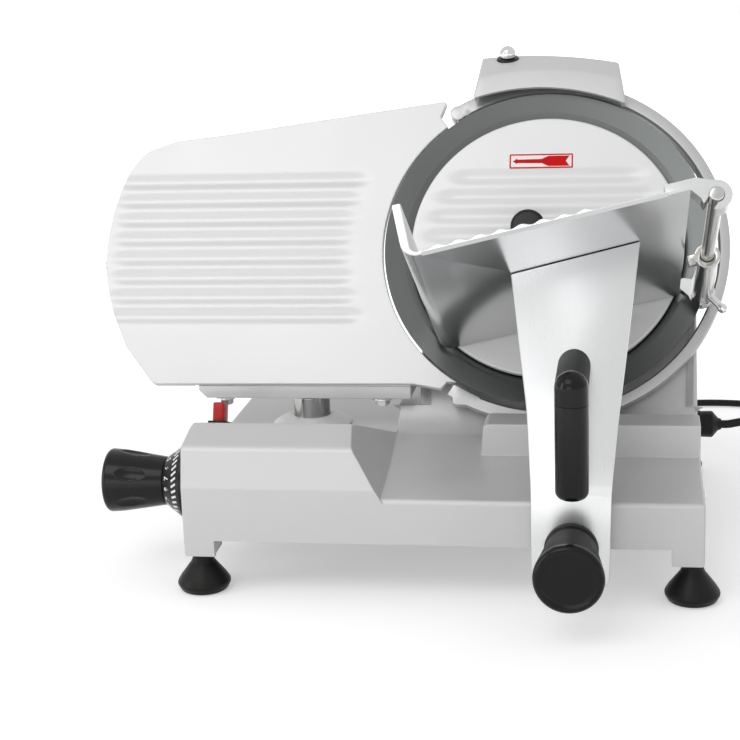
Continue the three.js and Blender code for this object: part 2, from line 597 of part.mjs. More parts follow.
// Guard ring: a C-shaped casting whose open side faces the gauge plate
function guardRing() {
  const disc = turned([
    [0, ring.back], [ring.radius, ring.back], [ring.radius, ring.front - ring.chamfer],
    [ring.radius - ring.chamfer, ring.front], [0, ring.front],
  ], bigSides);
  const bore = spindle(ring.bore, ring.back - overrun, ring.front + overrun, bigSides,
    [ring.shiftU, ring.shiftV, 0]);
  const open = alongZ([[0, 0], ...arcPoints(ring.radius * 2, ring.startAngle, ring.endAngle, curveSteps)],
    ring.back - overrun, ring.front + overrun);
  const middle = (ring.radius + ring.bore) / 2;
  const lobeAngle = THREE.MathUtils.degToRad(ring.lobeAngle);
  const lobe = spindle(ring.lobe, ring.back, ring.front, smallSides,
    [middle * Math.cos(lobeAngle), middle * Math.sin(lobeAngle), 0]);
  const lug = cut(alongZ([
    [ringLug.left, ringLug.bottom, ringLug.round], [ringLug.right, ringLug.bottom, ringLug.round],
    [ringLug.right, ringLug.top], [ringLug.left, ringLug.top],
  ], ring.back, ring.front), bore);
  return join(cut(disc, bore, open), lobe, lug);
}
piece(leaning, "guard_ring", guardRing(), material.casting);

// A scooped groove along u whose ends run out in a round taper, cut into a face at a height n.
const scoopRadius = (groove.width ** 2 / 4 + groove.depth ** 2) / (2 * groove.depth);
function scoop(from, to, v, faceHeight) {
  const length = to - from - groove.width;
  const capsule = new THREE.CapsuleGeometry(scoopRadius, length, curveSteps, sides).rotateZ(Math.PI / 2);
  return solid(capsule.translate((from + to) / 2, v, faceHeight + scoopRadius - groove.depth));
}
const grooveVs = Array.from({ length: groove.count }, (_, i) => (i - (groove.count - 1) / 2) * groove.pitch);

// Blade cover with its knob, and the tie rod that the knob screws into
const tieFace = blade.face + seatGap * 2 + tieRod.flangeThickness;
const knobPlace = [coverKnob.u, coverKnob.v, 0];
const studHole = (from, to) => spindle(coverKnob.stud + seatGap, from, to, tinySides, knobPlace);
function bladeCover() {
  const under = cover.face - cover.thickness;
  const dish = turned([
    [0, tieFace + seatGap], [tieRod.flange, tieFace + seatGap], [tieRod.flange, under],
    [cover.radius - cover.skirtWall, under], [cover.radius - cover.skirtWall, cover.skirt],
    [cover.radius, cover.skirt], [cover.radius, cover.face - cover.edge], [cover.radius - cover.edge,
      cover.face],
    [0, cover.face],
  ], bigSides);
  const scoops = grooveVs.map((v) => {
    const half = Math.sqrt(coverGrooveReach ** 2 - v ** 2);
    return scoop(-half, half, v, cover.face);
  });
  return cut(dish, ...scoops, studHole(blade.face, cover.face + overrun));
}
piece(leaning, "blade_cover", bladeCover(), material.plate);
const tieBack = tieFace - tieRod.flangeThickness;
piece(leaning, "cover_tie_rod", cut(join(
  spindle(tieRod.radius, tieRod.back, tieBack + seatGap, tinySides),
  spindle(tieRod.flange, tieBack, tieFace, sides),
), studHole(tieBack - overrun, tieFace + overrun)), material.darkSteel);
const knobBase = cover.face + seatGap;
const knobTop = cover.face + coverKnob.height;
piece(leaning, "cover_knob", turned([
  [0, tieBack + coverKnob.studShort], [coverKnob.stud, tieBack + coverKnob.studShort], [coverKnob.stud,
    knobBase], [coverKnob.foot, knobBase],
  [coverKnob.foot, knobBase + coverKnob.footHeight], [coverKnob.radius, knobBase + coverKnob.flare],
  [coverKnob.radius, knobTop - coverKnob.edge], [coverKnob.radius - coverKnob.edge, knobTop], [0, knobTop],
], sides), material.black, knobPlace);

// Sharpener: a housing that sits over the top of the ring, with two stones on push shafts behind it
const archShare = 0.5;

// A flat arch from a right point to a left point through a height at its middle.
function archOver([rightU, rightV], middleV, [leftU, leftV]) {
  return new THREE.QuadraticBezierCurve(
    new THREE.Vector2(rightU, rightV),
    new THREE.Vector2((rightU + leftU) * archShare, middleV * 2 - (rightV + leftV) * archShare),
    new THREE.Vector2(leftU, leftV),
  );
}
const archPoints = (arch) => arch.getPoints(curveSteps * 2).map((point) => [point.x, point.y]);

// The lower and upper edge of the sloping roof, moved in by an inset.
const roofEdge = (inset, share, [left, leftV], middleV, [right, rightV]) => archOver(
  [right - inset, rightV - inset * share], middleV - inset * share, [left + inset, leftV - inset * share]);
const roofLine = (inset) => roofEdge(inset, sharpenerLineShare, [sharpener.lineLeft, sharpener.lineLeftV],
  sharpener.lineV, [sharpener.lineRight, sharpener.lineRightV]);
const roofTop = (inset) => roofEdge(inset, sharpenerTopShare, [sharpener.topLeft, sharpener.topLeftV],
  sharpener.topV, [sharpener.topRight, sharpener.topRightV]);

// The skin of the housing: an upright front, a sloping roof and an upright back.
function sharpenerSkin(inset) {
  const [front, back] = [sharpener.front - inset, sharpener.back + inset];
  const low = [[sharpener.right - inset, sharpener.rightV - inset * 2],
    [sharpener.left + inset, sharpener.leftV - inset * 2]];
  const top = archPoints(roofTop(inset));
  return wasm.Manifold.hull([
    ...archPoints(roofLine(inset)).map(([u, v]) => [u, v, front]),
    ...top.map(([u, v]) => [u, v, sharpener.topN]),
    ...top.map(([u, v]) => [u, v - sharpener.backDrop, back]),
    ...low.flatMap(([u, v]) => [[u, v, front], [u, v, back]]),
  ]);
}
const rearUs = [sharpener.rearLeft, sharpener.rearRight];

// The knob stands square on the roof, part of the way up from the roof's lower edge.
const atU = (arch, u) => arch.getPoint((arch.v0.x - u) / (arch.v0.x - arch.v2.x)).y;
const knobLineV = atU(roofLine(0), sharpenerKnob.u);
const roofRise = atU(roofTop(0), sharpenerKnob.u) - knobLineV;
const roofDepth = sharpener.front - sharpener.topN;
const roofTilt = Math.atan2(roofRise, roofDepth);
const roofKnobPlace = [
  sharpenerKnob.u,
  knobLineV + roofRise * sharpenerKnobShare - sharpenerKnob.sunk * Math.cos(roofTilt),
  sharpener.front - roofDepth * sharpenerKnobShare - sharpenerKnob.sunk * Math.sin(roofTilt),
];
const roofKnobMatrix = new THREE.Matrix4().makeRotationX(roofTilt).setPosition(...roofKnobPlace);
function sharpenerHousing() {
  const thickness = sharpener.wall;
  const ringRoom = spindle(ring.radius + seatGap, sharpener.back + thickness, sharpener.ringFront, bigSides);
  const arch = archOver([sharpener.right, sharpener.rightV], sharpener.archV,
    [sharpener.left, sharpener.leftV]);
  const below = alongZ([
    ...archPoints(arch), [sharpener.left, sharpener.rightV - overrun],
    [sharpener.right, sharpener.rightV - overrun],
  ], sharpener.back - overrun, sharpener.front + overrun);
  const shell = cut(sharpenerSkin(0), sharpenerSkin(thickness), below, ringRoom);
  const rearFront = sharpener.back + thickness;
  const rear = box(...rearUs, sharpener.rearLow, sharpener.rearTop, sharpener.rearBack, rearFront);
  const rearPocket = box(rearUs[0] + thickness, rearUs[1] - thickness, sharpener.rearLow - overrun,
    sharpener.rearTop - thickness, sharpener.rearBack + thickness, sharpener.back);
  const shaftHoles = [stone.grindingU, stone.truingU].map((u) => spindle(stone.shaft + seatGap,
    sharpener.rearBack - overrun, sharpener.rearBack + thickness + overrun, tinySides, [u, stone.v, 0]));
  const knobHole = carried(spindle(sharpenerKnob.stud + seatGap, -thickness * 2, overrun, tinySides,
    [0, 0, 0], "y"), roofKnobMatrix);
  const spotFace = carried(spindle(sharpenerKnob.washer + runGap, 0, overrun, sides, [0, 0, 0], "y"),
    roofKnobMatrix);
  return cut(join(shell, rear), rearPocket, ...shaftHoles, knobHole, spotFace);
}
piece(leaning, "sharpener_housing", sharpenerHousing(), material.casting);

const roofKnob = new THREE.Group();
roofKnob.position.set(...roofKnobPlace);
roofKnob.rotation.x = roofTilt;
leaning.add(roofKnob);
piece(roofKnob, "sharpener_washer", tube(sharpenerKnob.washer, sharpenerKnob.stud + seatGap, seatGap,
  seatGap + sharpenerKnob.washerHeight, sides, [0, 0, 0], "y"), material.black);
const domeBase = seatGap + sharpenerKnob.washerHeight + seatGap;
piece(roofKnob, "sharpener_knob", turned([
  [0, -sharpenerKnob.studReach], [sharpenerKnob.stud, -sharpenerKnob.studReach], [sharpenerKnob.stud, domeBase],
  [sharpenerKnob.radius, domeBase], [sharpenerKnob.radius, domeBase + sharpenerKnob.skirt],
  ...arcPoints(1, 15, 75, curveSteps).map(([x, y]) => [sharpenerKnob.radius * x,
    domeBase + sharpenerKnob.skirt + (sharpenerKnob.height - sharpenerKnob.skirt) * y]),
  [0, domeBase + sharpenerKnob.height],
], sides, [0, 0, 0], "y"), material.chrome);

const stoneBack = stone.front - stone.thickness;
for (const [name, u] of [["grinding", stone.grindingU], ["truing", stone.truingU]]) {
  const place = [u, stone.v, 0];
  piece(leaning, `${name}_stone`, tube(stone.radius, stone.shaft + seatGap, stoneBack, stone.front, sides),
    material.stone, place);
  const collarFront = stoneBack - seatGap;
  piece(leaning, `${name}_shaft`, turned([
    [0, stone.buttonFront - stone.buttonLength], [stone.button, stone.buttonFront - stone.buttonLength],
    [stone.button, stone.buttonFront], [stone.shaft, stone.buttonFront],
    [stone.shaft, collarFront - stone.collarLength], [stone.collar, collarFront - stone.collarLength],
    [stone.collar, collarFront], [stone.shaft, collarFront], [stone.shaft, stone.front + stone.proud],
    [0, stone.front + stone.proud],
  ], smallSides), material.black, place);
}

// Gauge plate on its bar, with a flange and ribs behind
const gaugePoint = ([shareU, shareV]) => [shareU * gauge.reach, shareV * gauge.halfHeight];
const flangeLow = gaugeBar.top + seatGap;
const flangeHigh = flangeLow + gauge.flange;
const boltPlaces = gaugeBolt.xs.map((x) => [x, gaugeBolt.y, 0]);
function gaugePlate() {
  const sheet = alongZ([
    ...gaugeLowerShares.map(gaugePoint),
    ...arcPoints(gauge.arc, gauge.arcStart, gauge.arcEnd, gauge.arcSteps),
    ...gaugeUpperShares.map(gaugePoint),
  ], -gauge.thickness, 0);
  const scoops = grooveVs.map((v) => scoop(gauge.grooveLeft, -Math.sqrt(gauge.grooveOrbit ** 2 - v ** 2),
    v, 0));
  const flange = alongX([
    [planeY(-gauge.thickness / 2, flangeLow), flangeLow],
    [planeY(-gauge.thickness / 2, flangeHigh), flangeHigh],
    [gauge.flangeBack, flangeHigh], [gauge.flangeBack, flangeLow],
  ], gaugeBar.left, gaugeBar.right);
  const ribs = gauge.ribXs.map((x) => alongX([
    [planeY(-gauge.thickness / 2, flangeLow), flangeLow],
    [planeY(-gauge.thickness / 2, gauge.ribTop), gauge.ribTop],
    [gauge.flangeBack, gauge.ribTop],
    [gauge.flangeBack, flangeLow],
  ], x - gauge.ribWidth / 2, x + gauge.ribWidth / 2));
  const barRoom = box(gaugeBar.left - overrun, gaugeBar.right + overrun, gaugeBar.front - seatGap,
    gaugeBar.back + overrun, gaugeBar.bottom - overrun, flangeLow);
  const holes = boltPlaces.map((place) => spindle(gaugeBolt.shank + seatGap, flangeLow - overrun,
    flangeLow + gaugeBolt.reach + seatGap, tinySides, place));
  return cut(join(carried(cut(sheet, ...scoops), leanMatrix), flange, ...ribs), barRoom, ...holes);
}
piece(machine, "gauge_plate", gaugePlate(), material.plate);
piece(machine, "gauge_bar", cut(
  alongY([
    [gaugeBar.left + gaugeBar.corner, gaugeBar.bottom], [gaugeBar.right, gaugeBar.bottom],
    [gaugeBar.right, gaugeBar.top], [gaugeBar.left, gaugeBar.top],
    [gaugeBar.left, gaugeBar.bottom + gaugeBar.corner],
  ], gaugeBar.front, gaugeBar.back),
  ...boltPlaces.map((place) => spindle(gaugeBolt.shank + seatGap, gaugeBar.bottom - overrun,
    gaugeBar.top + overrun, tinySides, place)),
), material.casting);
boltPlaces.forEach((place, i) => piece(machine, `gauge_bolt_${i ? "right" : "left"}`, join(
  hexagon(gaugeBolt.acrossFlats, gaugeBar.bottom - seatGap - gaugeBolt.head, gaugeBar.bottom - seatGap),
  spindle(gaugeBolt.shank, gaugeBar.bottom - seatGap - lap, flangeLow + gaugeBolt.reach, tinySides),
), material.steel, place));

// Column, its dome cover, and the slider on two guide rods inside the nose
piece(machine, "gauge_column", spindle(column.radius, column.bottom, gaugeBar.bottom - seatGap, sides),
  material.steel, [column.x, column.y, 0]);
piece(machine, "dome_cover", turned([
  [column.radius + seatGap, dome.base + seatGap], [dome.radius, dome.base + seatGap],
  [dome.radius - dome.rim, (dome.base + dome.top) / 2], [column.radius + dome.rim, dome.top],
  [column.radius + seatGap, dome.top], [column.radius + seatGap, dome.base + seatGap],
], sides), material.steel, [column.x, column.y, 0]);
const toeFront = dial.y + knobShaft.camRadius + slider.toeGap;
const guidePlaces = [-guideRod.spread, guideRod.spread].map((x) => [column.x + x, 0, guideRod.z]);
function gaugeSlider() {
  const [front, back] = [column.y - slider.halfY, column.y + slider.halfY];
  const block = box(column.x - slider.halfX, column.x + slider.halfX, front, back, slider.bottom, slider.top);
  const cross = box(slider.armLeft, column.x, front, front + slider.crossDepth, slider.armBottom, slider.top);
  const reach = box(slider.armLeft, slider.armRight, toeFront, front + slider.crossDepth, slider.armBottom,
    slider.armTop);
  const toe = box(slider.toeLeft, slider.armRight, toeFront, toeFront + slider.toeDepth,
    dial.z - slider.toeHalf, dial.z + slider.toeHalf);
  return cut(
    join(block, cross, reach, toe),
    spindle(column.radius + seatGap, column.bottom - seatGap, slider.armTop + overrun, sides,
      [column.x, column.y, 0]),
    ...guidePlaces.map((place) => spindle(guideRod.radius + seatGap, front - overrun, back + overrun,
      tinySides,
      place, "y")),
  );
}
piece(machine, "gauge_slider", gaugeSlider(), material.casting);
guidePlaces.forEach((place, i) => piece(machine, `guide_rod_${i ? "right" : "left"}`,
  spindle(guideRod.radius, guideRod.front, guideRod.back, tinySides, [0, 0, 0], "y"), material.steel, place));

// Thickness knob, dial ring, and their shaft with a snail cam
function camSolid() {
  const rise = gauge.travel / knobShaft.turn;
  const climb = Array.from({ length: knobShaft.steps + 1 }, (_, i) => {
    const degrees = (knobShaft.turn * i) / knobShaft.steps;
    return arcPoints(knobShaft.camRadius + rise * degrees, degrees, degrees, 1)[0];
  });
  const dwell = arcPoints(knobShaft.camRadius, 360 - knobShaft.dwell, 360, curveSteps).slice(0, -1);
  return alongX([...climb, ...dwell].map(([y, z]) => [y + dial.y, z + dial.z]), knobShaft.cam,
    knobShaft.cam + knobShaft.camWidth);
}
const dialPlace = [0, dial.y, dial.z];
piece(machine, "knob_shaft", join(
  spindle(knobShaft.radius, knobShaft.left, knobShaft.right, smallSides, dialPlace, "x"), camSolid(),
), material.darkSteel);
piece(machine, "thickness_knob", turned([
  [0, dial.knobFront], [dial.knobRadius - dial.edge, dial.knobFront], [dial.knobRadius,
    dial.knobFront + dial.edge],
  [dial.knobNeck, dial.coneStart - seatGap], [knobShaft.radius + seatGap, dial.coneStart - seatGap],
  [knobShaft.radius + seatGap, knobShaft.left - seatGap], [0, knobShaft.left - seatGap],
], sides, dialPlace, "x"), material.black);
piece(machine, "dial_ring", turned([
  [knobShaft.radius + seatGap, dial.coneStart], [dial.knobNeck, dial.coneStart], [dial.radius, dial.coneEnd],
  [dial.radius, dial.back], [knobShaft.radius + seatGap, dial.back], [knobShaft.radius + seatGap,
    dial.coneStart],
], sides, dialPlace, "x"), material.black);

// Tray: a floor with soft waves along n, a left wall, and a hook at each end of the right edge for the rod
function trayOutline() {
  const pitch = (tray.waveEnd - tray.waveStart) / tray.waves;
  const waves = Array.from({ length: tray.waves * tray.waveSteps + 1 }, (_, i) => {
    const share = i / tray.waveSteps;
    return [tray.waveEnd - share * pitch,
      tray.floor + (tray.waveHeight * (1 - Math.cos(share * 2 * Math.PI))) / 2];
  });
  return [
    [0, 0, tray.corner], [tray.length, 0], [tray.length, tray.floor], ...waves,
    [tray.wall, tray.floor, tray.inner], [tray.wall, tray.height], [0, tray.height],
  ];
}
const hookWeb = [
  [tray.length - hook.webBack, 0], [tray.length - hook.webBack, hook.webTop], [hookW - hook.radius,
    hook.webTop, hook.webRound],
  [hookW, hook.h + hook.radius], [hookW - hook.radius, hook.h], [tray.length, 0],
];
function hookSolid(back, front) {
  const eye = cut(
    join(alongZ(hookWeb, back, front), spindle(hook.radius, back, front, sides, [hookW, hook.h, 0])),
    spindle(hook.bore, back - overrun, front + overrun, smallSides, [hookW, hook.h, 0]),
  );
  const mouth = new THREE.BoxGeometry(hook.radius * 2, hook.mouth, front - back + overrun * 2);
  mouth.translate(-hook.radius, 0, (front + back) / 2).rotateZ(Math.PI / 4);
  return cut(eye, solid(mouth.translate(hookW, hook.h, 0)));
}
const trayScrewPlaces = trayScrew.ws.map((w) => [w, 0, trayScrew.n]);
const screwTop = tray.floor + trayScrew.head + seatGap;
function traySolid() {
  const holes = trayScrewPlaces.flatMap((place) => [
    spindle(trayScrew.shank + seatGap, -overrun, screwTop + overrun, tinySides, place, "y"),
    spindle(trayScrew.radius + seatGap, screwTop - trayScrew.head - seatGap, screwTop + overrun, tinySides,
      place, "y"),
  ]);
  return cut(join(
    alongZ(trayOutline(), tray.far, tray.near),
    hookSolid(hook.nearFront - hook.nearDepth, hook.nearFront),
    hookSolid(hook.farFront - hook.farDepth, hook.farFront),
  ), ...holes);
}
piece(trayGroup, "tray", traySolid(), material.plate);
const trayScrewShape = join(
  spindle(trayScrew.radius, screwTop - trayScrew.head, screwTop, tinySides, [0, 0, 0], "y"),
  spindle(trayScrew.shank, screwTop - trayScrew.length, screwTop - trayScrew.head, tinySides, [0, 0, 0], "y"),
);
trayScrewPlaces.forEach((place, i) =>
  piece(trayGroup, `tray_screw_${i ? "right" : "left"}`, trayScrewShape, material.steel, place));

// Pusher rod in the hooks, the sleeve that slides on it, and the sleeve's lever pin
const rodPlace = [hookW, hook.h, 0];
const rodBack = hook.farFront - hook.farDepth - pusherRod.tail;
piece(trayGroup, "pusher_rod", turned([
  [0, rodBack], [pusherRod.radius, rodBack], [pusherRod.radius, pusherRod.tip - pusherRod.chamfer],
  [pusherRod.radius - pusherRod.chamfer, pusherRod.tip], [0, pusherRod.tip],
], smallSides), material.steel, rodPlace);
const leverAngle = THREE.MathUtils.degToRad(lever.angle) - tray.tilt;
function sleeveSolid() {
  const barrel = turned([
    [hook.bore, sleeve.bottom], [sleeve.radius, sleeve.bottom], [sleeve.radius, sleeve.top - sleeve.rimDepth],
    [sleeve.rim, sleeve.top - sleeve.rimDepth], [sleeve.rim, sleeve.top], [hook.bore, sleeve.top],
    [hook.bore, sleeve.bottom],
  ], sides, rodPlace);
  const lug = cut(
    box(hookW - sleeve.lugReach, hookW, sleeve.lugBottom, sleeve.lugTop, sleeve.top - sleeve.lugDepth,
      sleeve.top),
    spindle(sleeve.radius - hook.bore / 2, sleeve.bottom, sleeve.top + overrun, sides, rodPlace),
  );
  const pinHole = spindle(lever.radius + seatGap, sleeve.radius - lever.seat, sleeve.radius + overrun,
    tinySides,
    [0, 0, 0], "x");
  const turn = new THREE.Matrix4().makeTranslation(hookW, hook.h, lever.n)
    .multiply(new THREE.Matrix4().makeRotationZ(leverAngle));
  return cut(join(barrel, lug), carried(pinHole, turn));
}
piece(trayGroup, "rod_sleeve", sleeveSolid(), material.steel);
const pinStart = sleeve.radius - lever.seat + seatGap;
const pinEnd = sleeve.radius + lever.length;
const leverPin = piece(trayGroup, "lever_pin", turned([
  [0, pinStart], [lever.radius, pinStart], [lever.radius, pinEnd - lever.ball],
  ...arcPoints(lever.ball, -40, 80, curveSteps + 1).map(([x, y]) => [x, pinEnd + y]), [0,
    pinEnd + lever.ball],
], tinySides, [0, 0, 0], "x"), material.steel, [hookW, hook.h, lever.n]);
leverPin.rotation.z = leverAngle;

// Support arm: an upright that leans back under the tray, with a pad that the tray is screwed to
const armSlope = (arm.topY - arm.front) / (arm.topHeight - arm.kneeHeight);
const armReach = Math.max(arm.topLeftHeight, arm.topRightHeight) + tray.height;
const armTopY = arm.front + armSlope * (armReach - arm.kneeHeight);
const armSide = (ahead, behind) => [
  [arm.front - ahead, arm.bottom], [arm.front - ahead, arm.kneeHeight, arm.kneeRound],
  [armTopY - ahead, armReach], [armTopY + behind, armReach],
  [arm.front + behind, arm.kneeHeight, arm.kneeRound], [arm.front + behind, arm.bottom],
];
function armSolid() {
  const front = alongY([
    [arm.left, arm.bottom, arm.round], [arm.left, arm.waistHeight], [arm.midLeft, arm.midLeftHeight],
    [arm.topLeft, arm.topLeftHeight], [arm.topLeft, armReach], [arm.topRight, armReach],
    [arm.topRight, arm.topRightHeight], [arm.midRight, arm.midRightHeight], [arm.waistRight, arm.waistHeight],
    [arm.right, arm.bottom, arm.round],
  ], arm.front - overrun, 0);
  const upright = alongX(armSide(0, arm.thickness), arm.topLeft - overrun,
    arm.topRight + overrun).intersect(front);
  const padSolid = box(armPad.start, armPad.end, -armPad.thickness - seatGap, -seatGap, armPad.back,
    armPad.front);
  const above = box(-tray.length, tray.length * 2, -seatGap, tray.length, 0, tray.near * 2);
  const holes = trayScrewPlaces.map((place) => spindle(trayScrew.shank + seatGap,
    screwTop - trayScrew.length - seatGap, overrun, tinySides, place, "y"));
  return cut(
    join(cut(upright, carried(above, trayMatrix)), carried(padSolid, trayMatrix)),
    ...holes.map((hole) => carried(hole, trayMatrix)),
    spindle(clamp.screw + seatGap, arm.front - overrun, arm.front + arm.thickness + overrun, smallSides,
      [clamp.x, 0, clamp.z], "y"),
  );
}
piece(machine, "support_arm", armSolid(), material.casting);

// Handle: an upright grip on two posts, cut to the lean of the arm
function handleSolid() {
  const round = handle.radius;
  const grip = turned([
    ...arcPoints(round, -90, 0, curveSteps).map(([x, y]) => [Math.max(x, 0),
      handle.bottom + round / 2 + y / 2]),
    ...arcPoints(round, 0, 90, curveSteps).map(([x, y]) => [Math.max(x, 0), handle.top - round / 2 + y / 2]),
  ], smallSides, [handle.x, handle.y, 0]);
  const posts = [[round, handle.top - round], [handle.postRadius, handle.postBottom]].map(([radius, z]) =>
    spindle(radius, handle.y, arm.front + arm.thickness * 3, smallSides, [handle.x, 0, z], "y"));
  const behind = alongX([
    ...armSide(seatGap, 0).slice(0, 3), [0, armReach], [0, arm.bottom],
  ], arm.topLeft, arm.topRight);
  return cut(join(grip, ...posts), behind);
}
piece(machine, "arm_handle", handleSolid(), material.black);
const clampPlace = [clamp.x, 0, clamp.z];
const clampBack = arm.front - seatGap;
piece(machine, "clamp_knob", turned([
  [0, clamp.front], [clamp.radius - clamp.edge, clamp.front], [clamp.radius, clamp.front + clamp.edge],
  [clamp.neck, clampBack], [clamp.screw, clampBack], [clamp.screw, clamp.screwEnd], [0, clamp.screwEnd],
], sides, clampPlace, "y"), material.black);

// Carriage under the table: slide rod, guide bar and the trolley that the arm is clamped to
for (const [name, bar] of [["slide_rod", slideRod], ["guide_bar", guideBar]])
  piece(machine, name, spindle(bar.radius, table.left + wall - bar.seat + seatGap,
    table.right - wall + bar.seat - seatGap, smallSides, [0, bar.y, bar.z], "x"), material.steel);
const trolleyBack = slideRod.y + trolley.blockHalf;
piece(machine, "carriage_trolley", cut(
  join(
    box(trolley.left, trolley.right, guideBar.y - trolley.lugHalf, trolleyBack, trolley.floor, trolley.deck),
    box(trolley.plateLeft, trolley.plateRight, trolley.front, guideBar.y, trolley.floor, trolley.deck),
    box(trolley.plateLeft, trolley.plateRight, trolley.front, trolley.plateBack, trolley.floor,
      trolley.plateTop),
    box(trolley.left, trolley.right, slideRod.y - trolley.blockHalf, trolleyBack, trolley.floor,
      trolley.blockTop),
    box(trolley.left, trolley.right, guideBar.y - trolley.lugHalf, guideBar.y + trolley.lugHalf,
      trolley.floor,
      trolley.lugTop),
  ),
  ...[slideRod, guideBar].map((bar) => spindle(bar.radius + seatGap, trolley.left - overrun,
    trolley.right + overrun, smallSides, [0, bar.y, bar.z], "x")),
  spindle(clamp.screw + seatGap, trolley.front - overrun, trolley.plateBack + overrun, smallSides,
    clampPlace, "y"),
), material.casting);

// Power switch on the slope of the nose roof
const roofSlope = Math.atan2(nose.crestTop - table.rearTop, table.rear - nose.crest);
const switchGroup = new THREE.Group();
switchGroup.position.set(0, powerSwitch.y,
  nose.crestTop - (powerSwitch.y - nose.crest) * Math.tan(roofSlope));
switchGroup.rotation.x = -roofSlope;
machine.add(switchGroup);
const switchBox = (inset, low, high) => box(powerSwitch.left + inset, powerSwitch.right - inset,
  inset - powerSwitch.half, powerSwitch.half - inset, low, high);
piece(switchGroup, "switch_bezel", cut(switchBox(0, seatGap, powerSwitch.bezel),
  switchBox(powerSwitch.rim, -overrun, powerSwitch.bezel + overrun)), material.black);
piece(switchGroup, "switch_button", switchBox(powerSwitch.rim + seatGap, powerSwitch.bottom,
  powerSwitch.height),
  material.red);

// Gland, cord, coil and plug
const glandFace = table.right + seatGap;
const ribPitch = (gland.end - glandFace - gland.nutDepth) / (gland.ribs + 1);
const glandRibs = Array.from({ length: gland.ribs }, (_, i) => {
  const x = glandFace + gland.nutDepth + ribPitch * (i + 1);
  return [[gland.radius, x - gland.ribDepth], [gland.radius - gland.ribDepth, x - gland.ribDepth / 2],
    [gland.radius - gland.ribDepth, x + gland.ribDepth / 2], [gland.radius, x + gland.ribDepth]];
}).flat();
piece(machine, "cord_gland", turned([
  [0, table.right - wall - gland.inside], [gland.neck, table.right - wall - gland.inside], [gland.neck,
    glandFace],
  [gland.nut, glandFace], [gland.nut, glandFace + gland.nutDepth], [gland.radius, glandFace + gland.nutDepth],
  ...glandRibs, [gland.radius, gland.end], [0, gland.end],
], tinySides, [0, gland.y, gland.z], "x"), material.black);

// The coil: two piled layers, spiralling in and out again, that climb where the spiral reverses
const floorHeight = cord.diameter / 2 + cord.floorGap;
const coilTurns = coil.layerTurns * 2 + 0.5;
const coilOuter = coil.radius + (coil.pitch * coilTurns) / 4;
function coilPoint(turn) {
  const angle = Math.PI / 2 + turn * 2 * Math.PI;
  const radius = coilOuter - coil.pitch * Math.min(turn, coilTurns - turn);
  const climb = THREE.MathUtils.clamp((turn - coil.layerTurns) * 2, 0, 1);
  return new THREE.Vector3(coil.x + radius * Math.cos(angle), coil.y + radius * Math.sin(angle),
    floorHeight + coil.pitch * climb);
}
const coilPath = [
  coilPoint(0).add(new THREE.Vector3(coil.lead, 0, 0)),
  ...Array.from({ length: coilTurns * coil.steps + 1 }, (_, i) => coilPoint(i / coil.steps)),
  coilPoint(coilTurns).add(new THREE.Vector3(coil.tail, 0, 0)),
];
const tangentAt = (path, i) => {
  if (i === 0 || i === path.length - 1) return new THREE.Vector3(i ? 1 : -1, 0, 0);
  return path[i + 1].clone().sub(path[i - 1]).normalize();
};
function coilSolid() {
  const positions = [];
  const rings = coilPath.map((centre, i) => {
    const side = new THREE.Vector3(0, 0, 1).cross(tangentAt(coilPath, i)).normalize();
    const up = tangentAt(coilPath, i).cross(side).normalize();
    return Array.from({ length: coil.sides }, (_, k) => {
      const angle = ((k + 0.5) / coil.sides) * 2 * Math.PI;
      return centre.clone().addScaledVector(side, (Math.cos(angle) * cord.diameter) / 2)
        .addScaledVector(up, (Math.sin(angle) * cord.diameter) / 2);
    });
  });
  const corner = (...points) => points.forEach((point) => positions.push(...point.toArray()));
  for (let i = 0; i < rings.length - 1; i++)
    for (let k = 0; k < coil.sides; k++) {
      const next = (k + 1) % coil.sides;
      corner(rings[i][k], rings[i + 1][k], rings[i + 1][next]);
      corner(rings[i][k], rings[i + 1][next], rings[i][next]);
    }
  for (let k = 1; k < coil.sides - 1; k++) {
    corner(rings[0][0], rings[0][k], rings[0][k + 1]);
    corner(rings.at(-1)[0], rings.at(-1)[k + 1], rings.at(-1)[k]);
  }
  return solid(new THREE.BufferGeometry().setAttribute("position",
    new THREE.Float32BufferAttribute(positions, 3)));
}
piece(machine, "cord_coil", coilSolid(), material.black);
const halfTurn = coil.steps / 2;
let coilGap = Infinity;
coilPath.forEach((a, i) => coilPath.slice(i + halfTurn).forEach((b) => {
  coilGap = Math.min(coilGap, a.distanceTo(b) - cord.diameter);
}));
console.log(`least gap of the coil to itself: ${coilGap.toFixed(2)} mm`);

// The free stretch: out of the gland, down to the table on the right, round behind the machine to the coil
const cordPoints = [
  [gland.end + seatGap, gland.y, gland.z], [gland.end + cord.diameter, gland.y, gland.z],
  [155, 1, 77], [190, 10, 70], [228, 36, 42], [258, 82, 13], [270, 128, floorHeight + 1],
  [273, 175, floorHeight], [262, 230, floorHeight], [236, 274, floorHeight], [196, 304, floorHeight],
  [150, 315, floorHeight], [100, 308, floorHeight], [52, 284, floorHeight],
  [coil.x + coil.lead + seatGap + cord.diameter, coil.y + coilOuter, floorHeight],
  [coil.x + coil.lead + seatGap, coil.y + coilOuter, floorHeight],
].map((point) => new THREE.Vector3(...point));
const cordPath = new THREE.CatmullRomCurve3(cordPoints, false, "centripetal");
const cordSection = new THREE.Shape(arcPoints(cord.diameter / 2, 0, 360, cord.sides).slice(0, -1)
  .map(([x, y]) => new THREE.Vector2(x, y)));
piece(machine, "power_cord", solid(new THREE.ExtrudeGeometry(cordSection, {
  steps: cord.steps, extrudePath: cordPath, bevelEnabled: false,
})), material.black);
const coilLength = coilPath.slice(1).reduce((sum, point, i) => sum + point.distanceTo(coilPath[i]), 0);
console.log(`cord length: ${(cordPath.getLength() + coilLength).toFixed(0)} mm`);

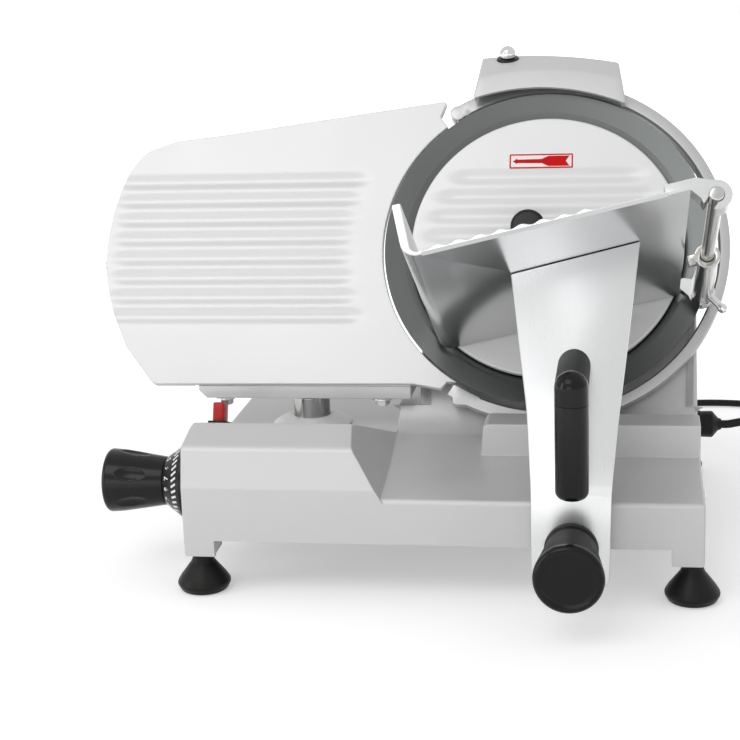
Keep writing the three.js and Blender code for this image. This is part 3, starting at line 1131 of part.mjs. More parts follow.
const coilEnd = coilPath.at(-1);
const plugGroup = new THREE.Group();
plugGroup.position.set(coilEnd.x + seatGap, coilEnd.y, coilEnd.z);
machine.add(plugGroup);
const plugHalf = [plug.width / 2, coilEnd.z];
const plugEnd = plug.neckLength + plug.length;
const pins = [-1, 1].map((side) => spindle(plug.pinRadius, plugEnd - plug.pinSeat, plugEnd + plug.pinLength,
  tinySides, [0, (side * plug.pinSpread) / 2, 0], "x"));
piece(plugGroup, "power_plug", join(
  alongX([[-plugHalf[0], -plugHalf[1], plug.edge], [plugHalf[0], -plugHalf[1], plug.edge],
    [plugHalf[0], plugHalf[1], plug.edge], [-plugHalf[0], plugHalf[1], plug.edge]], plug.neckLength, plugEnd),
  spindle(plug.neck, 0, plug.neckLength + lap, smallSides, [0, 0, 0], "x"),
  ...pins,
), material.black);

// The part stands at the middle of its own footprint, its cord left aside
const cordNames = ["power_cord", "cord_coil", "power_plug"];
machine.updateMatrixWorld(true);
const bounds = new THREE.Box3();
machine.traverse((mesh) => {
  if (mesh.isMesh && !cordNames.includes(mesh.name)) bounds.expandByObject(mesh, true);
});
const middle = bounds.getCenter(new THREE.Vector3());
machine.position.set(-middle.x, -middle.y, -bounds.min.z);

const slicer = new THREE.Group();
slicer.name = "meat_slicer";
slicer.add(machine);

export default slicer;
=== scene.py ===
import math

import bmesh
import bpy
from bpy.props import FloatProperty, FloatVectorProperty, IntProperty, PointerProperty
from mathutils import Matrix, Vector


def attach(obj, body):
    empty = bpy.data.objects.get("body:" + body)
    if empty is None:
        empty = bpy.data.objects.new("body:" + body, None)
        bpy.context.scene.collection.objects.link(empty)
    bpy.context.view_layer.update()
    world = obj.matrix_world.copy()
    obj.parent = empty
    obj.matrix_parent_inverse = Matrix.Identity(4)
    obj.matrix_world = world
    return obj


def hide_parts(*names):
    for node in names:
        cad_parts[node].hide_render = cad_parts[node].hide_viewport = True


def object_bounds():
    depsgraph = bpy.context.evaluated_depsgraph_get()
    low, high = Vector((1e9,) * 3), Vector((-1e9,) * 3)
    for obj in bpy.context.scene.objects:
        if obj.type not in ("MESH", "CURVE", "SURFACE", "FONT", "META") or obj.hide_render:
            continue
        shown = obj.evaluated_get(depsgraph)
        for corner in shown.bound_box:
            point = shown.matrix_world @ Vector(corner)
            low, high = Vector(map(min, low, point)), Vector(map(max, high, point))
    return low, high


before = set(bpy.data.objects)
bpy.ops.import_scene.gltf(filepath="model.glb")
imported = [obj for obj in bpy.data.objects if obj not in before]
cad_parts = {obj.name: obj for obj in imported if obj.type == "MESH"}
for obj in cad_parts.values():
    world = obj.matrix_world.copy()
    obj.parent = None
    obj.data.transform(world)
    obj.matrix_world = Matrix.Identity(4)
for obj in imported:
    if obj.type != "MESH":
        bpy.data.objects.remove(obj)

bl_info = {
    "name": "Gravity slicer finishes",
    "version": (1, 0, 0),
    "blender": (4, 5, 0),
    "location": "3D View > Sidebar > Slicer",
    "description": "Castings, plates, blade, dial, carriage and cord of a gravity-feed slicer",
    "category": "Object",
}

CAD_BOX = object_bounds()
SCENE = bpy.context.scene
MM = 0.001

# Frames of the machine: its own millimetres, the leaning frame of the blade, and the tray's frame in it
MACHINE_SHIFT = Vector((0.1061, 0.06315, 0))
BLADE_LEAN = math.radians(29)
BLADE_HEIGHT = 216
TRAY_PLACE = Vector((-78.1, -84.8, 0))
TRAY_TILT = math.radians(13.8)
MACHINE = Matrix.Translation(MACHINE_SHIFT) @ Matrix.Scale(MM, 4)
LEANING = (MACHINE @ Matrix.Translation((0, 0, BLADE_HEIGHT))
           @ Matrix.Rotation(math.pi / 2 - BLADE_LEAN, 4, "X"))
TRAY = LEANING @ Matrix.Translation(TRAY_PLACE) @ Matrix.Rotation(TRAY_TILT, 4, "Z")
ABOUT_X = Matrix(((0, 0, 1, 0), (1, 0, 0, 0), (0, 1, 0, 0), (0, 0, 0, 1)))
ABOUT_Y = Matrix(((1, 0, 0, 0), (0, 0, 1, 0), (0, -1, 0, 0), (0, 0, 0, 1)))
ABOUT_Y_UP = Matrix(((0, 1, 0, 0), (0, 0, 1, 0), (1, 0, 0, 0), (0, 0, 0, 1)))

ROUND_STEPS = 8
TURN_STEPS = 96
DISC_STEPS = 180
SEAT_GAP = 0.3
WALL = 5
OVERRUN = 3


class SLICER_PG_stage(bpy.types.PropertyGroup):
    """Floor, background and lamps."""
    floor_color: FloatVectorProperty(name="Floor", description="Colour of the floor", subtype="COLOR",
                                     default=(0.86, 0.86, 0.86))
    floor_reach: FloatProperty(name="Floor reach", description="Half the floor's side", default=9,
                               unit="LENGTH")
    key_power: FloatProperty(name="Main lamp", description="Power of the lamp above", default=10,
                             unit="POWER")
    fill_power: FloatProperty(name="Side lamps", description="Power of the two low lamps", default=9,
                              unit="POWER")
    sky_strength: FloatProperty(name="Room light", description="Even light from all round", default=0.62)


class SLICER_PG_finishes(bpy.types.PropertyGroup):
    """Colours of the main finishes."""
    casting: FloatVectorProperty(name="Castings", description="Silver of the cast body", subtype="COLOR",
                                 default=(0.6, 0.6, 0.605))
    plate: FloatVectorProperty(name="Plates", description="Satin of gauge plate and cover", subtype="COLOR",
                               default=(0.66, 0.66, 0.66))
    polished: FloatVectorProperty(name="Arm and tray", description="Polished aluminium", subtype="COLOR",
                                  default=(0.74, 0.745, 0.75))
    plastic: FloatVectorProperty(name="Knobs", description="Black moulded plastic", subtype="COLOR",
                                 default=(0.007, 0.007, 0.0068))
    mark: FloatVectorProperty(name="Arrow", description="Red print of the turning arrow", subtype="COLOR",
                              default=(0.6, 0.006, 0.006))


class SLICER_PG_grooves(bpy.types.PropertyGroup):
    """Grooves of the gauge plate and the blade cover."""
    pitch: FloatProperty(name="Pitch", description="From groove to groove", default=0.016, unit="LENGTH")
    width: FloatProperty(name="Width", description="Width of one groove", default=0.0158, unit="LENGTH")
    depth: FloatProperty(name="Depth", description="Depth of one groove", default=0.0018, unit="LENGTH")
    count: IntProperty(name="Count", description="Grooves from bottom to top", default=8)


class SLICER_PG_dial(bpy.types.PropertyGroup):
    """Marks of the thickness dial."""
    marks: IntProperty(name="Marks", description="Lines round the dial", default=36)
    mark_width: FloatProperty(name="Line width", description="Width of a line", default=0.0016, unit="LENGTH")
    digit_height: FloatProperty(name="Digits", description="Height of the numbers", default=0.0056,
                                unit="LENGTH")


class SLICER_PG_cord(bpy.types.PropertyGroup):
    """The mains cord."""
    diameter: FloatProperty(name="Diameter", description="Thickness of the cord", default=0.0065,
                            unit="LENGTH")


# Outlines

def outline(corners, steps=ROUND_STEPS):
    """Points of a closed outline whose corners may be rounded: each corner is (x, y) or (x, y, radius)."""
    points = []
    for i, corner in enumerate(corners):
        here = Vector(corner[:2])
        if len(corner) < 3:
            points.append(here)
            continue
        before = (Vector(corners[i - 1][:2]) - here).normalized()
        after = (Vector(corners[(i + 1) % len(corners)][:2]) - here).normalized()
        half = math.acos(max(-1, min(1, before.dot(after)))) / 2
        centre = here + (before + after).normalized() * (corner[2] / math.sin(half))
        start = here + before * (corner[2] / math.tan(half)) - centre
        end = here + after * (corner[2] / math.tan(half)) - centre
        sweep = math.atan2(start.x * end.y - start.y * end.x, start.dot(end))
        points += [centre + turned_by(start, sweep * k / steps) for k in range(steps + 1)]
    return points


def turned_by(point, angle):
    """A flat point turned about the origin."""
    c, s = math.cos(angle), math.sin(angle)
    return Vector((point.x * c - point.y * s, point.x * s + point.y * c))


def arc(radius, start, end, steps, x=0, y=0):
    """Points on an arc, its angles in degrees."""
    angles = [math.radians(start + (end - start) * k / steps) for k in range(steps + 1)]
    return [(x + radius * math.cos(a), y + radius * math.sin(a)) for a in angles]


def inset(points, distance):
    """The outline moved inward by a distance, corner by corner."""
    area = sum(a.x * b.y - a.y * b.x for a, b in zip(points, points[1:] + points[:1]))
    way = 1 if area > 0 else -1
    result = []
    for i, here in enumerate(points):
        ahead = (points[(i + 1) % len(points)] - here).normalized()
        behind = (here - points[i - 1]).normalized()
        first, second = [Vector((-d.y, d.x)) * way for d in (behind, ahead)]
        result.append(here + (first + second) * distance / max(0.3, 1 + first.dot(second)))
    return result


# Solids, drawn in millimetres as objects that later steps join, cut and place

def shape(bm):
    """A working object that holds a mesh."""
    bmesh.ops.remove_doubles(bm, verts=bm.verts[:], dist=1e-4)
    bmesh.ops.recalc_face_normals(bm, faces=bm.faces[:])
    mesh = bpy.data.meshes.new("working")
    bm.to_mesh(mesh)
    bm.free()
    obj = bpy.data.objects.new("working", mesh)
    SCENE.collection.objects.link(obj)
    return obj


def loft(rings, ring_of_rings=False):
    """A closed skin through rings of points, capped at its ends unless it closes on itself."""
    bm = bmesh.new()
    made = [[bm.verts.new(point) for point in ring] for ring in rings]
    pairs = list(zip(made, made[1:]))
    if ring_of_rings:
        pairs.append((made[-1], made[0]))
    for lower, upper in pairs:
        for i in range(len(lower)):
            j = (i + 1) % len(lower)
            bm.faces.new((lower[i], lower[j], upper[j], upper[i]))
    if not ring_of_rings:
        bm.faces.new(made[0][::-1])
        bm.faces.new(made[-1])
    return bm


def prism(corners, low, high, rim=0, rim_steps=3, turn=None):
    """An outline carried from low to high along Z, its two rims rounded, then turned by a matrix."""
    points = outline(corners)
    levels = [(low, 0), (high, 0)]
    if rim:
        quarter = [math.pi / 2 * k / rim_steps for k in range(rim_steps + 1)]
        levels = [(low + rim * (1 - math.cos(a)), rim * (1 - math.sin(a))) for a in quarter]
        levels += [(high - rim * (1 - math.cos(a)), rim * (1 - math.sin(a))) for a in reversed(quarter)]
    rings = [[(p.x, p.y, z) for p in (inset(points, d) if d else points)] for z, d in levels]
    bm = loft(rings)
    if turn:
        bm.transform(turn)
    return shape(bm)


def along_x(corners, low, high, rim=0):
    """A prism drawn in Y and Z and carried along X."""
    return prism(corners, low, high, rim, turn=ABOUT_X)


def along_y(corners, low, high, rim=0):
    """A prism drawn in X and Z and carried along Y."""
    flipped = [(x, -z, *rest) for x, z, *rest in corners]
    return prism(flipped, low, high, rim, turn=ABOUT_Y)


def block(x, y, z):
    """A box between two limits along each axis."""
    return prism([(x[0], y[0]), (x[1], y[0]), (x[1], y[1]), (x[0], y[1])], *z)


def turned(profile, steps=TURN_STEPS, place=(0, 0, 0), turn=None):
    """A solid of revolution about Z from (radius, height) corners, the third number a rounding."""
    points = outline(profile, 5)
    angles = [2 * math.pi * k / steps for k in range(steps)]
    rings = [[(max(p.x, 0) * math.cos(a), max(p.x, 0) * math.sin(a), p.y) for a in angles] for p in points]
    bm = loft(rings, ring_of_rings=True)
    bmesh.ops.remove_doubles(bm, verts=bm.verts[:], dist=1e-4)
    loose = [f for f in bm.faces if f.calc_area() < 1e-9]
    bmesh.ops.delete(bm, geom=loose, context="FACES_ONLY")
    if turn:
        bm.transform(turn)
    bm.transform(Matrix.Translation(place))
    return shape(bm)


def rod(radius, low, high, steps=48, place=(0, 0, 0), turn=None, edge=0):
    """A round bar along Z with eased ends."""
    rounding = (edge,) if edge else ()
    return turned([(0, low), (radius, low, *rounding), (radius, high, *rounding), (0, high)], steps, place,
                  turn)


def baked(obj):
    """The object with its modifiers made part of a plain mesh."""
    evaluated = obj.evaluated_get(bpy.context.evaluated_depsgraph_get())
    mesh = bpy.data.meshes.new_from_object(evaluated)
    obj.modifiers.clear()
    obj.data = mesh
    return obj


def combined(operation, first, *others):
    """The first solid joined with, cut by or limited to the others, which are used up."""
    for other in others:
        modifier = first.modifiers.new("combining", "BOOLEAN")
        modifier.operation = operation
        modifier.solver = "MANIFOLD"
        modifier.object = other
    baked(first)
    for other in others:
        bpy.data.objects.remove(other)
    return first


def joined(first, *others):
    """One solid of them all."""
    return combined("UNION", first, *others)


def cut(first, *others):
    """The first solid without the others."""
    return combined("DIFFERENCE", first, *others)


def common(first, *others):
    """What all of them share."""
    return combined("INTERSECT", first, *others)


def placed(obj, matrix):
    """A working object's mesh moved into another frame."""
    obj.data.transform(matrix)
    return obj


def soften(obj, edge, angle=35):
    """Rounds the sharp edges, by a width in the object's own units."""
    bm = bmesh.new()
    bm.from_mesh(obj.data)
    bmesh.ops.dissolve_limit(bm, angle_limit=math.radians(0.4), verts=bm.verts[:], edges=bm.edges[:])
    bm.to_mesh(obj.data)
    bm.free()
    modifier = obj.modifiers.new("eased edges", "BEVEL")
    modifier.width = edge
    modifier.segments = 2
    modifier.angle_limit = math.radians(angle)
    modifier.use_clamp_overlap = False
    return baked(obj)


def finished(obj, name, matrix, body, material, replaces=(), smooth=32, even=False):
    """Names a working object, puts it in the row frame and gives it its finish and its body.

    A piece with wide flat faces takes even shading, in which the wide faces keep their own normals."""
    obj.data.transform(matrix)
    bm = bmesh.new()
    bm.from_mesh(obj.data)
    bmesh.ops.triangulate(bm, faces=[f for f in bm.faces if len(f.verts) > 4])
    bm.to_mesh(obj.data)
    bm.free()
    obj.name = name
    obj.data.name = name
    obj.data.materials.clear()
    obj.data.materials.append(material)
    obj.data.shade_smooth()
    obj.data.set_sharp_from_angle(angle=math.radians(smooth))
    if even:
        obj.modifiers.new("even shading", "WEIGHTED_NORMAL").keep_sharp = True
        baked(obj)
    return carried(obj, body, replaces)


def carried(obj, body, replaces=()):
    """Tells the frame which body the piece rides on, its slot and the nodes it stands for."""
    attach(obj, body)
    if replaces:
        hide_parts(*replaces)
    return obj


def node_copy(*names):
    """CAD nodes as one working object in metres, with their loose triangles merged."""
    bm = bmesh.new()
    for name in names:
        bm.from_mesh(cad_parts[name].data)
    bmesh.ops.remove_doubles(bm, verts=bm.verts[:], dist=1e-6)
    mesh = bpy.data.meshes.new("working")
    bm.to_mesh(mesh)
    bm.free()
    obj = bpy.data.objects.new("working", mesh)
    SCENE.collection.objects.link(obj)
    return obj


# Node trees

class Tree:
    """Adds nodes to a tree and joins them."""

    def __init__(self, tree):
        self.tree = tree

    def add(self, kind, inputs=(), **settings):
        """A node with its settings, and its inputs, by name or number, as a value or a socket."""
        node = self.tree.nodes.new(kind)
        for key, value in settings.items():
            setattr(node, key, value)
        for key, value in dict(inputs).items():
            if isinstance(value, bpy.types.NodeSocket):
                self.tree.links.new(value, node.inputs[key])
            else:
                node.inputs[key].default_value = value
        return node

    def math(self, operation, *values):
        """The result of a sum on numbers or sockets."""
        return self.add("ShaderNodeMath", dict(enumerate(values)), operation=operation).outputs[0]

    def mix(self, share, first, second):
        """A colour between two others."""
        node = self.add("ShaderNodeMix", {0: share, 6: first, 7: second}, data_type="RGBA")
        return node.outputs[2]

    def ramp(self, value, low, high):
        """A number from 0..1 spread between two others."""
        return self.add("ShaderNodeMapRange", {0: value, 3: low, 4: high}).outputs[0]


def group(name, kind, sockets_in, sockets_out):
    """A node group with named inputs, each with its default, and named outputs."""
    tree = bpy.data.node_groups.new(name, kind)
    for socket_name, socket_type, default in sockets_in:
        socket = tree.interface.new_socket(socket_name, in_out="INPUT", socket_type=socket_type)
        if default is not None:
            socket.default_value = default
    for socket_name, socket_type in sockets_out:
        tree.interface.new_socket(socket_name, in_out="OUTPUT", socket_type=socket_type)
    made = Tree(tree)
    return made, made.add("NodeGroupInput").outputs, made.add("NodeGroupOutput").inputs


def link(made, source, target):
    made.tree.links.new(source, target)


FLOAT, COLOR, VECTOR = "NodeSocketFloat", "NodeSocketColor", "NodeSocketVector"


def cast_grain_group():
    """Fine grain and slow blotches of a satin casting or a moulded surface."""
    made, given, result = group("Cast grain", "ShaderNodeTree", [
        ("Color", COLOR, (0.5, 0.5, 0.5, 1)), ("Blotches", FLOAT, 0.05), ("Grain per metre", FLOAT, 900.0),
        ("Roughness", FLOAT, 0.4), ("Roughness spread", FLOAT, 0.06),
    ], [("Color", COLOR), ("Roughness", FLOAT), ("Height", FLOAT)])
    where = made.add("ShaderNodeTexCoord").outputs["Object"]
    blotch = made.add("ShaderNodeTexNoise", {"Vector": where, "Scale": 22.0, "Detail": 3.0}).outputs[0]
    grain = made.add("ShaderNodeTexNoise",
                     {"Vector": where, "Scale": given["Grain per metre"], "Detail": 2.0})
    shade = made.math("MULTIPLY", made.math("SUBTRACT", blotch, 0.5), given["Blotches"])
    fleck = made.math("MULTIPLY", made.math("SUBTRACT", grain.outputs[0], 0.5), made.math(
        "MULTIPLY", given["Blotches"], 0.8))
    value = made.math("ADD", 1.0, made.math("ADD", shade, fleck))
    tint = made.add("ShaderNodeHueSaturation", {"Value": value, "Color": given["Color"]}).outputs[0]
    spread = made.math("MULTIPLY", made.math("SUBTRACT", blotch, 0.5), made.math(
        "MULTIPLY", given["Roughness spread"], 2.0))
    link(made, tint, result["Color"])
    link(made, made.math("ADD", given["Roughness"], spread), result["Roughness"])
    link(made, grain.outputs[0], result["Height"])
    return made.tree


def brushed_group():
    """Long fine strokes of brushing along one direction, with slow clouds."""
    made, given, result = group("Brushed strokes", "ShaderNodeTree", [
        ("Vector", VECTOR, None), ("Color", COLOR, (0.7, 0.7, 0.7, 1)), ("Stroke shade", FLOAT, 0.12),
        ("Roughness", FLOAT, 0.25), ("Roughness spread", FLOAT, 0.1),
    ], [("Color", COLOR), ("Roughness", FLOAT), ("Height", FLOAT)])
    strokes = made.add("ShaderNodeTexNoise", {"Vector": given["Vector"], "Scale": 1.0, "Detail": 4.0,
                                              "Roughness": 0.65}).outputs[0]
    where = made.add("ShaderNodeTexCoord").outputs["Object"]
    cloud = made.add("ShaderNodeTexNoise", {"Vector": where, "Scale": 14.0, "Detail": 2.0}).outputs[0]
    both = made.math("ADD", made.math("SUBTRACT", strokes, 0.5), made.math("SUBTRACT", cloud, 0.5))
    value = made.math("ADD", 1.0, made.math("MULTIPLY", both, given["Stroke shade"]))
    tint = made.add("ShaderNodeHueSaturation", {"Value": value, "Color": given["Color"]}).outputs[0]
    spread = made.math("MULTIPLY", both, given["Roughness spread"])
    link(made, tint, result["Color"])
    link(made, made.math("ADD", given["Roughness"], spread), result["Roughness"])
    link(made, strokes, result["Height"])
    return made.tree


def round_strokes_group():
    """Turning or polishing marks that run round a centre: X is the distance from it, in metres."""
    made, given, result = group("Round strokes", "ShaderNodeTree", [("Vector", VECTOR, None),
                                                                     ("Lines per metre", FLOAT, 700.0)],
                                [("Vector", VECTOR)])
    parts = made.add("ShaderNodeSeparateXYZ", {0: given["Vector"]}).outputs
    square = [made.math("MULTIPLY", part, part) for part in parts[:2]]
    distance = made.math("SQRT", made.math("ADD", *square))
    angle = made.math("ARCTAN2", parts[1], parts[0])
    spot = made.add("ShaderNodeCombineXYZ", {
        0: made.math("MULTIPLY", distance, given["Lines per metre"]),
        1: made.math("MULTIPLY", made.math("SINE", angle), 1.2),
        2: made.math("MULTIPLY", made.math("COSINE", angle), 1.2),
    })
    link(made, spot.outputs[0], result["Vector"])
    return made.tree


def material(name, metallic=0.0, group_tree=None, values=(), bump=0.0, vector=None, **shader):
    """A material whose colour, roughness and relief come from a node group, and the rest from the shader."""
    made = bpy.data.materials.new(name)
    made.use_nodes = True
    tree = Tree(made.node_tree)
    principled = made.node_tree.nodes["Principled BSDF"]
    principled.inputs["Metallic"].default_value = metallic
    for key, value in shader.items():
        principled.inputs[key.replace("_", " ")].default_value = value
    effect = tree.add("ShaderNodeGroup", node_tree=group_tree)
    for key, value in dict(values).items():
        effect.inputs[key].default_value = value
    if vector:
        link(tree, vector(tree), effect.inputs["Vector"])
    link(tree, effect.outputs["Color"], principled.inputs["Base Color"])
    link(tree, effect.outputs["Roughness"], principled.inputs["Roughness"])
    if bump:
        relief = tree.add("ShaderNodeBump", {"Height": effect.outputs["Height"], "Strength": 1.0,
                                             "Distance": bump * MM})
        link(tree, relief.outputs[0], principled.inputs["Normal"])
    return made


def stroke_vector(lean, scale):
    """Object coordinates turned about X by an angle and stretched, for strokes along one direction."""
    def build(tree):
        where = tree.add("ShaderNodeTexCoord").outputs["Object"]
        mapping = tree.add("ShaderNodeMapping", {"Vector": where, "Rotation": (-lean, 0, 0)},
                           vector_type="POINT")
        stretch = tree.add("ShaderNodeVectorMath", {0: mapping.outputs[0], 1: scale}, operation="MULTIPLY")
        return stretch.outputs[0]
    return build


def round_vector(group_tree, centre, lean, lines):
    """Object coordinates centred on the blade's axis, in its plane, for marks that run round it."""
    def build(tree):
        where = tree.add("ShaderNodeTexCoord").outputs["Object"]
        moved = tree.add("ShaderNodeVectorMath", {0: where, 1: centre}, operation="SUBTRACT").outputs[0]
        mapping = tree.add("ShaderNodeMapping", {"Vector": moved, "Rotation": (-lean, 0, 0)})
        rounds = tree.add("ShaderNodeGroup", {}, node_tree=group_tree)
        link(tree, mapping.outputs[0], rounds.inputs["Vector"])
        rounds.inputs["Lines per metre"].default_value = lines
        return rounds.outputs[0]
    return build


FINISH = {}


def make_finishes():
    """Builds every material once and keeps it by its plain name."""
    chosen = SCENE.slicer_finishes
    opaque = lambda color: (*color, 1)
    grain, strokes, rounds = cast_grain_group(), brushed_group(), round_strokes_group()
    blade_axis = tuple(LEANING.translation)
    lean = math.pi / 2 - BLADE_LEAN

    def cast(name, color, roughness, metallic, blotches=0.05, bump=0.02, per_metre=900.0,
             spread=0.05, **shader):
        FINISH[name] = material(name, metallic, grain, {
            "Color": opaque(color), "Roughness": roughness, "Blotches": blotches,
            "Grain per metre": per_metre, "Roughness spread": spread}, bump, **shader)

    def brushed(name, color, roughness, vector, shade=0.12, bump=0.01, spread=0.1, metallic=1.0, **shader):
        FINISH[name] = material(name, metallic, strokes, {
            "Color": opaque(color), "Roughness": roughness, "Stroke shade": shade,
            "Roughness spread": spread}, bump, vector, **shader)

    cast("casting", chosen.casting, 0.45, 0.3, bump=0.03, Specular_IOR_Level=0.3)
    cast("ring_casting", [c * 0.8 for c in chosen.casting], 0.38, 0.75, bump=0.012)
    cast("plate", chosen.plate, 0.4, 0.3, blotches=0.04, bump=0.006, per_metre=1500.0, Specular_IOR_Level=0.3)
    cast("bright_plate", [c * 1.12 for c in chosen.plate], 0.4, 0.2, blotches=0.03, bump=0.004,
         per_metre=1500.0, Specular_IOR_Level=0.3)
    cast("sheet", (0.3, 0.305, 0.31), 0.45, 0.5, blotches=0.08)
    cast("plastic", chosen.plastic, 0.2, 0.0, blotches=0.3, bump=0.003, per_metre=500.0, spread=0.04,
         Specular_IOR_Level=0.24)
    cast("satin_plastic", chosen.plastic, 0.5, 0.0, blotches=0.3, bump=0.003, per_metre=500.0,
         Specular_IOR_Level=0.1)
    cast("gloss_plastic", chosen.plastic, 0.16, 0.0, blotches=0.3, bump=0.002, per_metre=400.0, spread=0.03,
         Specular_IOR_Level=0.2)
    cast("rubber", (0.007, 0.007, 0.0065), 0.42, 0.0, blotches=0.3, bump=0.02, per_metre=1200.0,
         Specular_IOR_Level=0.2)
    cast("cord_rubber", (0.007, 0.007, 0.0068), 0.4, 0.0, blotches=0.3, bump=0.01, per_metre=1400.0,
         Specular_IOR_Level=0.22)
    cast("red", (0.45, 0.012, 0.01), 0.3, 0.0, blotches=0.12, bump=0.006, Specular_IOR_Level=0.3)
    cast("red_print", chosen.mark, 0.5, 0.0, blotches=0.12, bump=0.003, Specular_IOR_Level=0.1)
    cast("white_print", (0.8, 0.8, 0.8), 0.5, 0.0, blotches=0.1, bump=0.003)
    cast("stone", (0.23, 0.08, 0.055), 0.9, 0.0, blotches=0.5, bump=0.12, per_metre=1600.0)
    cast("dark_steel", (0.16, 0.165, 0.17), 0.38, 0.9, blotches=0.2, bump=0.01)
    cast("chrome", (0.62, 0.63, 0.64), 0.08, 1.0, blotches=0.03, bump=0.0, spread=0.02)
    cast("bright_steel", (0.8, 0.805, 0.81), 0.16, 1.0, blotches=0.05, bump=0.003, spread=0.04)
    # The gauge post takes a darkened copy of steel: painted shade for the dark reflections on the post
    cast("shaded_post_steel", (0.34, 0.34, 0.335), 0.16, 1.0, blotches=0.1, bump=0.003, spread=0.05)
    cast("steel", (0.62, 0.625, 0.63), 0.2, 1.0, blotches=0.1, bump=0.004, spread=0.06)
    brushed("arm_metal", [c * 0.9 for c in chosen.polished], 0.28, stroke_vector(0, (900.0, 60.0, 16.0)),
            shade=0.035, spread=0.05, bump=0.004)
    # The tray takes a darker copy of the polished aluminium than the arm: painted shade for the dark
    # reflections under its floor
    brushed("shaded_tray_metal", [c * 0.84 for c in chosen.polished], 0.2, stroke_vector(lean, (20.0, 500.0, 500.0)),
            shade=0.06, spread=0.08, bump=0.006)
    brushed("rod_metal", (0.5, 0.5, 0.48), 0.16, stroke_vector(lean, (300.0, 300.0, 1500.0)), bump=0.006)
    # The blade's steel is darkened far below bright steel: painted shade for the dark surroundings that the
    # blade reflects
    brushed("shaded_blade_metal", (0.125, 0.132, 0.128), 0.33, round_vector(rounds, blade_axis, lean, 900.0),
            shade=0.14, spread=0.08, bump=0.006)


# Geometry node trees

def grooved_sheet_tree():
    """A fine sheet with hollow grooves along X that fade out at both ends, in millimetres."""
    made, given, result = group("Grooved sheet", "GeometryNodeTree", [
        ("Left", FLOAT, -100.0), ("Right", FLOAT, 100.0), ("Bottom", FLOAT, -100.0), ("Top", FLOAT, 100.0),
        ("Cell", FLOAT, 1.6), ("Pitch", FLOAT, 16.0), ("Width", FLOAT, 12.0), ("Depth", FLOAT, 1.6),
        ("Count", FLOAT, 8.0), ("Left flat", FLOAT, 0.0), ("Left share", FLOAT, -1.0),
        ("Right share", FLOAT, 1.0), ("Orbit", FLOAT, 88.0), ("Finish", "NodeSocketMaterial", None),
    ], [("Geometry", "NodeSocketGeometry")])
    m = made.math
    size = [m("SUBTRACT", given["Right"], given["Left"]), m("SUBTRACT", given["Top"], given["Bottom"])]
    counts = [m("CEIL", m("DIVIDE", length, given["Cell"])) for length in size]
    grid = made.add("GeometryNodeMeshGrid", {"Size X": size[0], "Size Y": size[1], "Vertices X": counts[0],
                                             "Vertices Y": counts[1]})
    centre = made.add("ShaderNodeCombineXYZ", {
        0: m("MULTIPLY", m("ADD", given["Right"], given["Left"]), 0.5),
        1: m("MULTIPLY", m("ADD", given["Top"], given["Bottom"]), 0.5)})
    sheet = made.add("GeometryNodeTransform", {"Geometry": grid.outputs[0], "Translation": centre.outputs[0]})
    here = made.add("ShaderNodeSeparateXYZ", {0: made.add("GeometryNodeInputPosition").outputs[0]}).outputs
    most = m("MULTIPLY", m("SUBTRACT", given["Count"], 1.0), 0.5)
    row = m("SUBTRACT", m("ROUND", m("ADD", m("DIVIDE", here[1], given["Pitch"]), most)), most)
    row = m("MINIMUM", m("MAXIMUM", row, m("MULTIPLY", most, -1.0)), most)
    middle = m("MULTIPLY", row, given["Pitch"])
    reach = m("SQRT", m("SUBTRACT",
                        m("MULTIPLY", given["Orbit"], given["Orbit"]), m("MULTIPLY", middle, middle)))
    half = m("MULTIPLY", given["Width"], 0.5)
    start = m("ADD", m("ADD", given["Left flat"], m("MULTIPLY", reach, given["Left share"])), half)
    end = m("SUBTRACT", m("MULTIPLY", reach, given["Right share"]), half)
    past = m("MAXIMUM", m("MAXIMUM", m("SUBTRACT", start, here[0]), m("SUBTRACT", here[0], end)), 0.0)
    off = m("SUBTRACT", here[1], middle)
    away = m("SQRT", m("ADD", m("MULTIPLY", m("MULTIPLY", past, past), 0.14), m("MULTIPLY", off, off)))
    turn = m("MULTIPLY", m("MINIMUM", m("DIVIDE", away, half), 1.0), math.pi)
    drop = m("MULTIPLY", m("MULTIPLY", m("ADD", m("COSINE", turn), 1.0), -0.5), given["Depth"])
    offset = made.add("ShaderNodeCombineXYZ", {2: drop})
    moved = made.add("GeometryNodeSetPosition", {"Geometry": sheet.outputs[0], "Offset": offset.outputs[0]})
    real = made.add("GeometryNodeRealizeInstances", {"Geometry": moved.outputs[0]})
    coat = made.add("GeometryNodeSetMaterial", {"Geometry": real.outputs[0], "Material": given["Finish"]})
    link(made, coat.outputs[0], result[0])
    return made.tree


